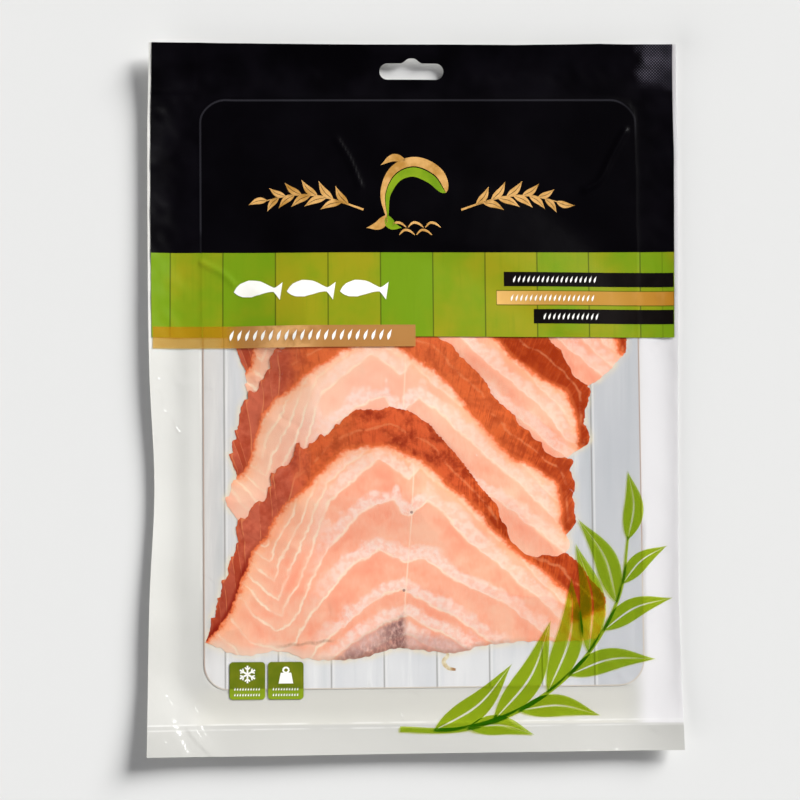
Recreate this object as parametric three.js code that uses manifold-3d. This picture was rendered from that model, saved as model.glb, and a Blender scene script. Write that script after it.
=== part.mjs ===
// A flat vacuum pouch of sliced smoked salmon: two films sealed together all round, a hang slot in the header,
// and between the films a stiff card with four slices of fish laid on it like roof tiles.
// Millimetres, +Z up. The pack lies on its back: +Y points to the header, +X to the right of the printed face,
// and the origin is the middle of the flat back.
import * as THREE from "three";
import { mergeVertices } from "three/addons/utils/BufferGeometryUtils.js";
import Module from "manifold-3d";

// ---- Driving dimensions ----------------------------------------------------------------------------------------

// The pouch: both films pressed together make the thin rim round the card.
const POUCH_WIDTH = 210;
const POUCH_LENGTH = 282;
const FILM = 0.5;

// The rim curls up from the table, most of all at the corners, and its left side is drawn in a little where the
// vacuum pulls on it.
const RIM_LIFT = 6.5;
const RIM_REACH = 24;
const RIM_WAVE = 0.5;
const RIM_WAVE_LENGTH = 118;
const PULL_DEPTH = 2.2;
const PULL_Y = -37;
const PULL_REACH = 34;

// The weld across the bottom end is a low ridge.
const WELD_Y = -130.2;
const WELD_WIDTH = 2.4;
const WELD_HEIGHT = 0.4;

// The hang slot: a round-ended slot with a low crown in the middle of its upper edge.
const SLOT = { x: -1, y: 129.3, width: 25.6, height: 6.4, crownWidth: 1.6, crownRise: 1.9, crownShoulder: 3.6 };

// The card under the fish, turned a little in the pouch.
const CARD = { x: 2.7, y: 1.7, width: 173, length: 233.6, corner: 10, thickness: 1, turnDeg: 0.35 };
const CARD_SHOULDER = 0.8;

// The slices, from the one that lies on top to the one that lies lowest. Each is an arch: it stands on its base line,
// peaks at x, reaches left and right along the base, and its two sides are superellipse quarters.
const SLICE_THICKNESS = 2.6;
const SLICES = [
  { x: -8, base: -97, height: 91, left: 74, right: 82, roundLeft: 1.85, roundRight: 1.22, sag: 5.5 },
  { x: -8, base: -56, height: 79, left: 66, right: 71, roundLeft: 2.9, roundRight: 1.6, sag: 4 },
  { x: -8, base: -25, height: 80, left: 62, right: 77, roundLeft: 2.9, roundRight: 1.9, sag: 4 },
  { x: -8, base: 5, height: 80, left: 60, right: 92, roundLeft: 2.4, roundRight: 1.8, sag: 3 },
];
const BASE_FULLNESS = 0.6;
const LAYER_RAMP = 20;
const SIDE_RAMP = 9;
const RAGGED = 0.011;

// How finely the shapes are divided.
const RIM_COLUMNS = 22;
const RIM_ROWS = 30;
const ARCH_STEPS = 52;
const BASE_STEPS = 22;
const SLICE_RINGS = [0.93, 0.8, 0.6, 0.36];

// ---- Helpers ---------------------------------------------------------------------------------------------------

const wasm = await Module();
wasm.setup();

/** A closed three.js geometry as a solid that can be joined and cut. */
function solid(geometry) {
  const bare = new THREE.BufferGeometry();
  bare.setAttribute("position", geometry.getAttribute("position"));
  if (geometry.index) bare.setIndex(geometry.index);
  const merged = mergeVertices(bare, 1e-4);
  return new wasm.Manifold(
    new wasm.Mesh({
      numProp: 3,
      vertProperties: merged.getAttribute("position").array,
      triVerts: new Uint32Array(merged.index.array),
    }),
  );
}

/** A solid as a three.js geometry with flat facets. */
function geometryOf(made) {
  const mesh = made.getMesh();
  const indexed = new THREE.BufferGeometry();
  indexed.setAttribute("position", new THREE.BufferAttribute(new Float32Array(mesh.vertProperties), 3));
  indexed.setIndex(new THREE.BufferAttribute(new Uint32Array(mesh.triVerts), 1));
  const facets = indexed.toNonIndexed();
  facets.computeVertexNormals();
  return facets;
}

/** 0 below the start, 1 above the end, and smooth in between. */
function ramp(value, start, end) {
  return THREE.MathUtils.smoothstep(value, start, end);
}

/** Evenly spaced stops from one value to another, both included. */
function stops(from, to, count) {
  return Array.from({ length: count + 1 }, (_, i) => from + ((to - from) * i) / count);
}

/** Distance outside the card's rounded outline, 0 on and inside it. */
function beyondCard(x, y) {
  const dx = Math.abs(x - CARD.x) - CARD.width / 2 + CARD.corner;
  const dy = Math.abs(y - CARD.y) - CARD.length / 2 + CARD.corner;
  return Math.max(0, Math.hypot(Math.max(dx, 0), Math.max(dy, 0)) - CARD.corner);
}

// ---- Pouch rim -------------------------------------------------------------------------------------------------

/** Height of the rim's underside: flat below the card, then curling up with a slow wave along the edge. */
function rimLift(x, y) {
  const out = (beyondCard(x, y) / RIM_REACH) ** 2;
  const along = (2 * Math.PI * (x + y)) / RIM_WAVE_LENGTH;
  return (out / (1 + out / 2)) * (RIM_LIFT + RIM_WAVE * Math.sin(along));
}

/** How far the left side is drawn in at this height of the pouch. */
function sidePull(y) {
  return PULL_DEPTH * Math.exp(-(((y - PULL_Y) / PULL_REACH) ** 2));
}

/** The two films pressed together: a thin closed slab on a grid, with the weld as a ridge on its upper face. */
function makeRim() {
  const halfWidth = POUCH_WIDTH / 2;
  const halfLength = POUCH_LENGTH / 2;
  const columns = stops(-halfWidth, halfWidth, RIM_COLUMNS);
  const weldFoot = [WELD_Y - WELD_WIDTH / 2, WELD_Y, WELD_Y + WELD_WIDTH / 2];
  const rows = [-halfLength, ...weldFoot, ...stops(weldFoot[2], halfLength, RIM_ROWS).slice(1)];
  const positions = [];
  const indices = [];
  for (const upper of [0, 1]) {
    for (const y of rows) {
      for (const column of columns) {
        const drawn = (0.5 - column / POUCH_WIDTH) ** 3 * sidePull(y);
        const x = column + drawn;
        const weld = y === WELD_Y ? WELD_HEIGHT : 0;
        positions.push(x, y, rimLift(x, y) + upper * (FILM + weld));
      }
    }
  }
  const across = columns.length;
  const layer = across * rows.length;
  const quad = (a, b, c, d) => indices.push(a, b, c, a, c, d);
  for (let j = 0; j + 1 < rows.length; j++) {
    for (let i = 0; i + 1 < across; i++) {
      const low = j * across + i;
      quad(low, low + across, low + across + 1, low + 1);
      quad(layer + low, layer + low + 1, layer + low + across + 1, layer + low + across);
    }
  }
  const wall = (a, b) => quad(a, b, layer + b, layer + a);
  for (let i = 0; i + 1 < across; i++) {
    const last = layer - across + i;
    wall(i, i + 1);
    wall(last + 1, last);
  }
  for (let j = 0; j + 1 < rows.length; j++) {
    const left = j * across;
    const right = left + across - 1;
    wall(left + across, left);
    wall(right, right + across);
  }
  const slab = new THREE.BufferGeometry();
  slab.setAttribute("position", new THREE.BufferAttribute(new Float32Array(positions), 3));
  slab.setIndex(indices);
  return solid(slab);
}

/** The tool that cuts the hang slot through the header. */
function makeSlotCutter() {
  const { x, y, width, height, crownWidth, crownRise, crownShoulder } = SLOT;
  const radius = height / 2;
  const straight = width / 2 - radius;
  const top = y + radius;
  const crown = crownWidth / 2;
  const foot = crown + crownShoulder;
  const middle = crown + crownShoulder / 2;
  const outline = new THREE.Shape();
  outline.moveTo(x - straight, y - radius);
  outline.lineTo(x + straight, y - radius);
  outline.absarc(x + straight, y, radius, -Math.PI / 2, Math.PI / 2);
  outline.lineTo(x + foot, top);
  outline.bezierCurveTo(x + middle, top, x + middle, top + crownRise, x + crown, top + crownRise);
  outline.lineTo(x - crown, top + crownRise);
  outline.bezierCurveTo(x - middle, top + crownRise, x - middle, top, x - foot, top);
  outline.lineTo(x - straight, top);
  outline.absarc(x - straight, y, radius, Math.PI / 2, (3 * Math.PI) / 2);
  const cutter = new THREE.ExtrudeGeometry(outline, { depth: 20, bevelEnabled: false, curveSegments: 7 });
  cutter.translate(0, 0, -5);
  return solid(cutter);
}

// ---- Card ------------------------------------------------------------------------------------------------------

/** The card with the film drawn tight over its edge: a rounded plate with a soft shoulder. */
function makeCard() {
  const { width, length, corner, thickness } = CARD;
  const halfWidth = width / 2;
  const halfLength = length / 2;
  const outline = new THREE.Shape();
  outline.moveTo(-halfWidth + corner, -halfLength);
  outline.lineTo(halfWidth - corner, -halfLength);
  outline.absarc(halfWidth - corner, -halfLength + corner, corner, -Math.PI / 2, 0);
  outline.lineTo(halfWidth, halfLength - corner);
  outline.absarc(halfWidth - corner, halfLength - corner, corner, 0, Math.PI / 2);
  outline.lineTo(-halfWidth + corner, halfLength);
  outline.absarc(-halfWidth + corner, halfLength - corner, corner, Math.PI / 2, Math.PI);
  outline.lineTo(-halfWidth, -halfLength + corner);
  outline.absarc(-halfWidth + corner, -halfLength + corner, corner, Math.PI, (3 * Math.PI) / 2);
  const plate = new THREE.ExtrudeGeometry(outline, {
    depth: FILM / 2 + thickness - CARD_SHOULDER / 2,
    bevelThickness: CARD_SHOULDER / 2,
    bevelSize: CARD_SHOULDER,
    bevelSegments: 2,
    curveSegments: 7,
  });
  plate.rotateZ(THREE.MathUtils.degToRad(CARD.turnDeg));
  plate.translate(CARD.x, CARD.y, FILM / 2 + CARD_SHOULDER / 2);
  return solid(plate);
}

// ---- Slices of fish --------------------------------------------------------------------------------------------

const CARD_TOP = FILM + CARD.thickness + CARD_SHOULDER / 2;

/** A slice's ragged outline, counterclockwise: over the arch from its right foot to its left, then back along the base. */
function sliceOutline(slice, which) {
  const points = [];
  for (const turn of stops(0, Math.PI, ARCH_STEPS)) {
    const right = turn < Math.PI / 2;
    const power = 2 / (right ? slice.roundRight : slice.roundLeft);
    const reach = right ? slice.right : -slice.left;
    const side = Math.abs(Math.cos(turn)) ** power * reach;
    const up = Math.abs(Math.sin(turn)) ** power * slice.height;
    points.push(new THREE.Vector2(slice.x + side, slice.base + up));
  }
  for (const along of stops(0, 1, BASE_STEPS).slice(1, -1)) {
    const x = slice.x - slice.left + along * (slice.left + slice.right);
    points.push(new THREE.Vector2(x, slice.base - slice.sag * Math.sin(Math.PI * along) ** BASE_FULLNESS));
  }
  const middle = sliceMiddle(slice);
  return points.map((point, i) => {
    const tear = Math.sin(2.3 * i + which) + Math.sin(3.7 * i + 2 * which) + Math.sin(0.9 * i + 3 * which);
    return point.sub(middle).multiplyScalar(1 + RAGGED * tear).add(middle);
  });
}

/** The point that a slice's rings shrink towards. */
function sliceMiddle(slice) {
  return new THREE.Vector2(slice.x + (slice.right - slice.left) / 2, slice.base + 0.34 * slice.height);
}

/** The share of its thickness that a slice adds under a place: all of it well inside its arch, none beyond it. */
function layerAt(slice, x, y) {
  const peak = slice.base + slice.height;
  const starts = ramp(y, slice.base - LAYER_RAMP / 2, slice.base + LAYER_RAMP);
  const ends = ramp(y, peak - LAYER_RAMP, peak + LAYER_RAMP / 2);
  const [reach, round] = x > slice.x ? [slice.right, slice.roundRight] : [slice.left, slice.roundLeft];
  const up = THREE.MathUtils.clamp((y - slice.base) / slice.height, 0, 1);
  const inward = reach * (1 - up ** round) ** (1 / round) - Math.abs(x - slice.x);
  return (starts - ends) * ramp(inward, -SIDE_RAMP / 2, SIDE_RAMP);
}

/** Upper face of a slice: its own thickness, draped over the card and over every lower slice that it lies on. */
function sliceTop(which, x, y) {
  const below = SLICES.slice(which + 1).map((slice) => layerAt(slice, x, y));
  return CARD_TOP + SLICE_THICKNESS * (1 + below.reduce((sum, layer) => sum + layer, 0));
}

/** One slice under the film: rings from its foot in the card, over a round shoulder, to the middle of its face. */
function makeSlice(slice, which) {
  const outline = sliceOutline(slice, which);
  const middle = sliceMiddle(slice);
  const foot = CARD_TOP - 0.6;
  const rings = [
    { scale: 1.018, drop: Infinity },
    { scale: 1.0, drop: 0.62 * SLICE_THICKNESS },
    { scale: 0.984, drop: 0.2 * SLICE_THICKNESS },
    ...SLICE_RINGS.map((scale) => ({ scale, drop: 0 })),
  ];
  const positions = [];
  const indices = [];
  for (const { scale, drop } of rings) {
    for (const point of outline) {
      const [x, y] = [0, 1].map((k) => middle.getComponent(k) * (1 - scale) + point.getComponent(k) * scale);
      positions.push(x, y, drop === Infinity ? foot : sliceTop(which, x, y) - drop);
    }
  }
  const count = outline.length;
  const crown = rings.length * count;
  const sole = crown + 1;
  positions.push(middle.x, middle.y, sliceTop(which, middle.x, middle.y), middle.x, middle.y, foot);
  for (let i = 0; i < count; i++) {
    const next = (i + 1) % count;
    for (let ring = 0; ring + 1 < rings.length; ring++) {
      const low = ring * count;
      indices.push(low + i, low + next, low + count + next, low + i, low + count + next, low + count + i);
    }
    indices.push(crown - count + i, crown - count + next, crown);
    indices.push(next, i, sole);
  }
  const shell = new THREE.BufferGeometry();
  shell.setAttribute("position", new THREE.BufferAttribute(new Float32Array(positions), 3));
  shell.setIndex(indices);
  return solid(shell);
}

// ---- Assembly --------------------------------------------------------------------------------------------------

const pouchSolid = SLICES.map(makeSlice)
  .reduce((whole, slice) => whole.add(slice), makeRim().add(makeCard()))
  .subtract(makeSlotCutter());

const pouch = new THREE.Mesh(
  geometryOf(pouchSolid),
  new THREE.MeshStandardMaterial({ color: 0xe8e6e2, roughness: 0.22, metalness: 0 }),
);
pouch.name = "pouch";

const pack = new THREE.Group();
pack.name = "smoked_salmon_pack";
pack.add(pouch);

export default pack;
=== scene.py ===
# %% [markdown]
# # A vacuum pack of smoked salmon
#
# The pack is a flat pouch: a white back film and a clear, partly printed front film, welded together
# round a stiff card with four slices of fish on it. The construction file holds the pouch as one solid.
# Here each sheet, the card, every slice and every field of print gets a mesh of its own, in the place
# that the solid has for it.
#
# Everything is worked out in millimetres and written to the meshes in metres.

# %% Load the frame
import math

import bpy
import numpy as np
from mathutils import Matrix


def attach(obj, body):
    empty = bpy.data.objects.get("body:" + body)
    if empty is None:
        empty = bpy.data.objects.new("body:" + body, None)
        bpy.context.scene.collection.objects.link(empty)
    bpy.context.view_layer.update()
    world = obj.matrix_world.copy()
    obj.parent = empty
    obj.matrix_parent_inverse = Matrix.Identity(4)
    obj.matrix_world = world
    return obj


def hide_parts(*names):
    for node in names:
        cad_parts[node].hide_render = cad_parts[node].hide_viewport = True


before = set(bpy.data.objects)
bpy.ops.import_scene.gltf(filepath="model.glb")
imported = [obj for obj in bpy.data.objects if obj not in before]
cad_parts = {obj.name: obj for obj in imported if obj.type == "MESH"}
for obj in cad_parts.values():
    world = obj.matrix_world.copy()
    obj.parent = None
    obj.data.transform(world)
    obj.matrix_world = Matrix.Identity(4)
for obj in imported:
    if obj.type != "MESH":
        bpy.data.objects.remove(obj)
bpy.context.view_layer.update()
MM = 0.001

# %% [markdown]
# ## Camera
#
# A long lens about a metre above the pack keeps its sides nearly parallel, as in a catalogue picture. The
# camera stands a little below and left of the middle, so the lower left corner comes out slightly larger.

# %% Camera
PICTURE_SIDE = 800
CAMERA_PLACE = (-53.0, -75.4, 985.0)
CAMERA_TURN = (4.277, -2.717, -0.226)
LENS_IN_PIXELS = 2500
SENSOR = 36.0
FAR_END = 20

camera_place = [v * MM for v in CAMERA_PLACE]
camera_turn = [math.radians(angle) for angle in CAMERA_TURN]
bpy.ops.object.camera_add(location=camera_place, rotation=camera_turn)
camera = bpy.context.object
camera.data.sensor_width = SENSOR
camera.data.lens = SENSOR * LENS_IN_PIXELS / PICTURE_SIDE
camera.data.clip_end = FAR_END
bpy.context.scene.camera = camera
bpy.context.scene.view_settings.view_transform = "Standard"
print(f"camera: a lens of {camera.data.lens:.1f} mm, {CAMERA_PLACE[2]:.0f} mm above the table")

# %% [markdown]
# ## Tools for meshes
#
# Films and slices are sheets whose height changes from place to place. Each starts as a grid primitive,
# whose rows and columns are then moved to the wanted places all at once: that is what a sculptor's grab
# brush does by hand, and here it can follow a formula.

# %% Tools for meshes
def deselect():
    """Operators act on all that is selected, so nothing is left selected before a new piece."""
    bpy.ops.object.select_all(action="DESELECT")


def choose(pieces):
    """Selects just these pieces and makes the first of them the active one."""
    deselect()
    for piece in pieces:
        piece.select_set(True)
    bpy.context.view_layer.objects.active = pieces[0]


def places_of(piece):
    """The vertices of a piece in millimetres, one row each."""
    flat = np.empty(len(piece.data.vertices) * 3)
    piece.data.vertices.foreach_get("co", flat)
    return flat.reshape(-1, 3) / MM


def move_to(piece, places):
    """Puts the vertices of a piece at places given in millimetres."""
    piece.data.vertices.foreach_set("co", (np.asarray(places) * MM).ravel())
    piece.data.update()


def grid_piece(name, places):
    """A sheet of four-sided faces through places[row][column] = (x, y, z) in millimetres."""
    rows, columns = places.shape[:2]
    deselect()
    bpy.ops.mesh.primitive_grid_add(x_subdivisions=columns - 1, y_subdivisions=rows - 1, size=1)
    piece = bpy.context.object
    piece.name = piece.data.name = name
    move_to(piece, places.reshape(-1, 3))
    return piece


# %% [markdown]
# A rectangle with rounded corners is a grid too: near its ends every row is drawn in by as much as the
# corner's arc asks for, so no loose triangles are needed. A flat sheet becomes a body when all of it is
# extruded straight down. A film is equally thick all over, but a slice of fish thins out towards its
# edge, so a second tool lets the depth change from vertex to vertex.

# %% Rounded sheets and thickness
CORNER_ROWS = 8


def rounded_grid(x_range, y_range, corner, step):
    """The x and y of rows of places that fill a rectangle with rounded corners."""
    (x0, x1), (y0, y1) = x_range, y_range
    rows = max(2, int((y1 - y0) / step) + 1)
    columns = max(2, int((x1 - x0) / step) + 1)
    ends = corner * (1 - np.cos(np.linspace(0, math.pi / 2, CORNER_ROWS)))
    y = np.unique(np.round(np.concatenate([np.linspace(y0, y1, rows), y0 + ends, y1 - ends]), 3))
    from_end = np.clip(corner - np.minimum(y - y0, y1 - y), 0, corner)
    inset = corner - np.sqrt(np.maximum(corner**2 - from_end**2, 0))
    share = np.linspace(0, 1, columns)
    x = (x0 + inset)[:, None] * (1 - share) + (x1 - inset)[:, None] * share
    return x, np.broadcast_to(y[:, None], x.shape)


def thicken_down(piece, depth):
    """Turns a sheet into a closed body by extruding all of it straight down."""
    bpy.ops.object.mode_set(mode="EDIT")
    bpy.ops.mesh.select_all(action="SELECT")
    bpy.ops.mesh.extrude_region_move(TRANSFORM_OT_translate={"value": (0, 0, -depth * MM)})
    bpy.ops.mesh.select_all(action="SELECT")
    bpy.ops.mesh.normals_make_consistent(inside=False)
    bpy.ops.object.mode_set(mode="OBJECT")


def note(piece, name, values):
    """Stores one number for each vertex, which a material can read."""
    attribute = piece.data.attributes.new(name, "FLOAT", "POINT")
    attribute.data.foreach_set("value", np.asarray(values, np.float32).ravel())


def thicken_unevenly(piece, depth):
    """Turns a sheet into a closed body whose depth changes from vertex to vertex."""
    note(piece, "depth", depth)
    count = len(piece.data.vertices)
    thicken_down(piece, 1)
    depths = np.empty(len(piece.data.vertices))
    piece.data.attributes["depth"].data.foreach_get("value", depths)
    places = places_of(piece)
    places[count:, 2] += 1 - depths[count:]
    move_to(piece, places)


# %% [markdown]
# Every piece ends the same way: soft bends are shaded smooth and sharp edges stay sharp, the material
# goes on, and the piece is set in the frame, in the place of the solid.

# %% Finish a piece
SHARP_ANGLE = 40


def finish_piece(piece, material):
    """Gives a piece its smooth shading and its material, and sets it in the frame."""
    choose([piece])
    bpy.ops.object.shade_smooth_by_angle(angle=math.radians(SHARP_ANGLE))
    piece.data.materials.clear()
    piece.data.materials.append(material)
    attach(piece, "root")
    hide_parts("pouch")
    print(f"{piece.name}: {len(piece.data.vertices)} vertices, {len(piece.data.polygons)} faces")


# %% [markdown]
# Two kinds of numbers shape nearly everything that follows: a soft step from 0 to 1, and a smooth noise
# that is the same each time the script runs.

# %% Soft steps and noise
RIPPLE_WAVES = 7


def ramp(value, start, end):
    """0 at the start, 1 at the end, and smooth in between."""
    part = np.clip((value - start) / (end - start), 0, 1)
    return part * part * (3 - 2 * part)


def ripple(x, y, size, seed):
    """Smooth noise between about -1 and 1: waves of about the given size in random directions."""
    draw = np.random.default_rng(seed)
    total = np.zeros(np.broadcast(x, y).shape)
    for _ in range(RIPPLE_WAVES):
        angle, phase = draw.uniform(0, 2 * math.pi, 2)
        length = size * draw.uniform(0.7, 1.5)
        total += np.sin(2 * math.pi * (x * math.cos(angle) + y * math.sin(angle)) / length + phase)
    return total / math.sqrt(RIPPLE_WAVES)


# %% [markdown]
# ## Tools for materials
#
# A material is a chain of nodes. The class below lets a chain be written as sums: every sign between two
# values adds the Math node that does it.

# %% Values in a material
class Value:
    """An output of a node. Signs between values add Math nodes."""

    def __init__(self, paint, socket):
        self.paint = paint
        self.socket = socket

    def maths(self, operation, *values):
        return self.paint.node("ShaderNodeMath", {"operation": operation}, dict(enumerate(values)))

    def __add__(self, other):
        return self.maths("ADD", self, other)

    def __radd__(self, other):
        return self.maths("ADD", other, self)

    def __sub__(self, other):
        return self.maths("SUBTRACT", self, other)

    def __rsub__(self, other):
        return self.maths("SUBTRACT", other, self)

    def __mul__(self, other):
        return self.maths("MULTIPLY", self, other)

    def __rmul__(self, other):
        return self.maths("MULTIPLY", other, self)

    def __truediv__(self, other):
        return self.maths("DIVIDE", self, other)

    def __abs__(self):
        return self.maths("ABSOLUTE", self)

    def fraction(self):
        return self.maths("FRACT", self)

    def floor(self):
        return self.maths("FLOOR", self)

    def sine(self):
        return self.maths("SINE", self)

    def power(self, exponent):
        return self.maths("POWER", self, exponent)

    def least(self, other):
        return self.maths("MINIMUM", self, other)

    def most(self, other):
        return self.maths("MAXIMUM", self, other)

    def step(self, start, end):
        """0 at the start and 1 at the end, with a soft way between; the start may be the higher one."""
        limits = {"Value": self, "From Min": start, "From Max": end}
        return self.paint.node("ShaderNodeMapRange", {"interpolation_type": "SMOOTHSTEP"}, limits)


# %% [markdown]
# All other nodes come from one method, which takes the kind of node, its settings and its inputs. The
# methods after it are short names for what the finishes of the pack share: where a point lies, noise,
# colours laid over one another, a plain surface, and a clear one.

# %% A material under construction
class Paint:
    """A material under construction, or a sky when it is given the nodes of one."""

    def __init__(self, name, tree=None):
        if tree is None:
            self.material = bpy.data.materials.new(name)
            self.material.use_nodes = True
            tree = self.material.node_tree
        self.tree = tree
        self.tree.nodes.clear()

    def node(self, kind, settings=None, inputs=None, output=0):
        """Adds a node, sets it, fills its inputs with numbers or links, and returns an output."""
        made = self.tree.nodes.new(kind)
        for name, value in (settings or {}).items():
            setattr(made, name, value)
        for name, value in (inputs or {}).items():
            if isinstance(value, Value):
                self.tree.links.new(value.socket, made.inputs[name])
            else:
                made.inputs[name].default_value = value
        return Value(self, made.outputs[output]) if made.outputs else None

    def attribute(self, name):
        return self.node("ShaderNodeAttribute", {"attribute_name": name}, output="Fac")

    def places(self):
        """The place on the object in millimetres."""
        metres = self.node("ShaderNodeTexCoord", output="Object")
        return self.node("ShaderNodeVectorMath", {"operation": "SCALE"}, {0: metres, "Scale": 1 / MM})

    def axes(self):
        """The x and the y of the place, in millimetres."""
        place = self.places()
        return [self.node("ShaderNodeSeparateXYZ", inputs={0: place}, output=axis) for axis in ("X", "Y")]

    def noise(self, size, detail=2.0, stretch=(1, 1, 1)):
        """Smooth noise from 0 to 1 with spots of about the given size in millimetres."""
        mapped = self.node("ShaderNodeMapping", inputs={"Vector": self.places(), "Scale": stretch})
        sizes = {"Vector": mapped, "Scale": 1 / size, "Detail": detail, "Roughness": 0.55}
        return self.node("ShaderNodeTexNoise", inputs=sizes)

    def random(self, value):
        """A random number from 0 to 1, the same for all values with the same whole part."""
        whole = {"W": value.floor()}
        return self.node("ShaderNodeTexWhiteNoise", {"noise_dimensions": "1D"}, whole, output="Value")

    def mix(self, factor, first, second):
        """A colour between two colours."""
        inputs = {0: factor, 6: first, 7: second}
        return self.node("ShaderNodeMix", {"data_type": "RGBA"}, inputs, output=2)

    def uneven(self, size, first, second):
        """Two colours in soft clouds of about the given size."""
        return self.mix(self.noise(size, 3).step(0.3, 0.7), first, second)

    def layers(self, shade, *coats):
        """A colour with coats laid over it in turn; each is a factor and a colour."""
        for factor, coat in coats:
            shade = self.mix(factor, shade, coat)
        return shade

    def bump(self, height, distance, strength=1.0):
        """A normal that follows a height; the distance is in millimetres."""
        inputs = {"Height": height, "Distance": distance * MM, "Strength": strength}
        return self.node("ShaderNodeBump", inputs=inputs)

    def surface(self, shade, roughness=0.5, specular=0.5, normal=None):
        """A surface that nothing shines through: its colour, how rough it is and how much it mirrors."""
        inputs = {"Base Color": shade, "Roughness": roughness, "Specular IOR Level": specular}
        if normal is not None:
            inputs["Normal"] = normal
        return self.node("ShaderNodeBsdfPrincipled", inputs=inputs)

    def see_through(self, tint, cover, surface):
        """A clear filter of some tint, a share of which is covered by a surface."""
        clear = self.node("ShaderNodeBsdfTransparent", inputs={"Color": tint})
        return self.node("ShaderNodeMixShader", inputs={0: cover, 1: clear, 2: surface})

    def done(self, shader):
        self.node("ShaderNodeOutputMaterial", inputs={"Surface": shader})
        return self.material


def colour(red, green, blue):
    """A screen colour from 0 to 255 as the linear colour that a shader takes."""
    def linear(level):
        part = level / 255
        return part / 12.92 if part <= 0.04045 else ((part + 0.055) / 1.055) ** 2.4
    return (linear(red), linear(green), linear(blue), 1)


# %% [markdown]
# ## Light and floor
#
# One broad lamp from the upper right draws the soft shadow along the left and lower edges. It is a sun,
# so that all of the floor gets the same light, and its wide disc makes the shadow's edge soft. It stands
# low, so a slope of a few degrees would already turn dark. A weaker and wider lamp low down on the other
# side evens that out, and hardly reaches the flat floor. Seen from the side, gloss film would mirror both
# of them as one white sheet, so they light only what is matt. A small lamp higher up, which shows in
# gloss alone, gives the creases their glints.

# %% Lamps
KEY_AZIMUTH = 39
LAMP_HEIGHT = 0.6


def add_sun(name, azimuth, elevation, width, strength):
    """A lamp so far away that it lights the whole scene evenly; width is the angle of its disc."""
    bpy.ops.object.light_add(type="SUN", location=(0, 0, LAMP_HEIGHT))
    sun = bpy.context.object
    sun.name = name
    sun.data.energy = strength
    sun.data.angle = math.radians(width)
    sun.rotation_euler = (math.radians(90 - elevation), 0, math.radians(azimuth + 90))
    return sun


key = add_sun("key", KEY_AZIMUTH, elevation=26, width=27, strength=6.2)
fill = add_sun("fill", KEY_AZIMUTH + 180, elevation=4, width=70, strength=2.9)
glint = add_sun("glint", KEY_AZIMUTH, elevation=50, width=10, strength=0.85)
key.visible_glossy = fill.visible_glossy = False
glint.visible_diffuse = False
print("lamps:", ", ".join(lamp.name for lamp in (key, fill, glint)))

# %% [markdown]
# Straight above, the sky is dark, because gloss film mirrors whatever hangs over it, and a bright ceiling
# would turn the black header grey. Low down it is brighter, most of all behind the pack as seen from the
# main lamp.

# %% Sky
SKY_HIGH = (0.1, 0.1, 0.11, 1)
SKY_LOW = (0.55, 0.55, 0.55, 1)
SKY_BEHIND = (0.9, 0.9, 0.9, 1)

world = bpy.data.worlds.new("studio")
bpy.context.scene.world = world
world.use_nodes = True
sky = Paint("studio", world.node_tree)
direction = sky.node("ShaderNodeTexCoord", output="Generated")
east, north, up = [sky.node("ShaderNodeSeparateXYZ", inputs={0: direction}, output=axis) for axis in "XYZ"]
azimuth = math.radians(KEY_AZIMUTH)
behind = (east * -math.cos(azimuth) - north * math.sin(azimuth)).step(0.2, 0.95)
low_sky = sky.mix(behind, SKY_LOW, SKY_BEHIND)
all_sky = sky.mix(up.step(0.08, 0.5), low_sky, SKY_HIGH)
background = sky.node("ShaderNodeBackground", inputs={"Color": all_sky})
sky.node("ShaderNodeOutputWorld", inputs={"Surface": background})

# %% [markdown]
# The floor is a plain pale plane, a hair below the pack. It belongs to the stage and not to the pack: all
# it does is to catch the shadow.

# %% Floor
FLOOR_COLOUR = (0.725, 0.725, 0.712, 1)
FLOOR_SIZE = 4
FLOOR_DROP = 0.1

deselect()
bpy.ops.mesh.primitive_plane_add(size=FLOOR_SIZE, location=(0, 0, -FLOOR_DROP * MM))
floor = bpy.context.object
floor.name = "floor"
floor_paint = Paint("pale_floor")
floor.data.materials.append(floor_paint.done(floor_paint.surface(FLOOR_COLOUR, roughness=0.6)))
print(f"floor: {FLOOR_SIZE} m wide, {FLOOR_DROP} mm below the pack")

# %% [markdown]
# ## The form of the pouch
#
# These sizes are the ones of the solid. The rim of the pouch curls up from the table, the card lies flat
# in the middle, and each slice adds its thickness to what it lies on. One function for each of them gives
# the height at any place, so that every sheet can be laid over the same form.

# %% Sizes of the card and the rim
POUCH_WIDTH = 210
POUCH_LENGTH = 282
CARD_MIDDLE = (2.7, 1.7)
CARD_WIDTH = 173
CARD_LENGTH = 233.6
CARD_CORNER = 10
CARD_TURN = math.radians(0.35)
CARD_TOP = 1.9
RIM_LIFT = 6.5
RIM_REACH = 24
RIM_WAVE = 0.5
RIM_WAVE_LENGTH = 118


def beyond_card(x, y):
    """Distance outside the card's rounded outline; negative inside it."""
    dx, dy = x - CARD_MIDDLE[0], y - CARD_MIDDLE[1]
    across = np.abs(dx * math.cos(CARD_TURN) + dy * math.sin(CARD_TURN)) - CARD_WIDTH / 2 + CARD_CORNER
    along = np.abs(dy * math.cos(CARD_TURN) - dx * math.sin(CARD_TURN)) - CARD_LENGTH / 2 + CARD_CORNER
    outer = np.hypot(np.maximum(across, 0), np.maximum(along, 0))
    return outer + np.minimum(np.maximum(across, along), 0) - CARD_CORNER


def rim_lift(x, y):
    """Height of the underside of the rim."""
    out = (np.maximum(beyond_card(x, y), 0) / RIM_REACH) ** 2
    wave = np.sin(2 * math.pi * (x + y) / RIM_WAVE_LENGTH)
    return out / (1 + out / 2) * (RIM_LIFT + RIM_WAVE * wave)


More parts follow.
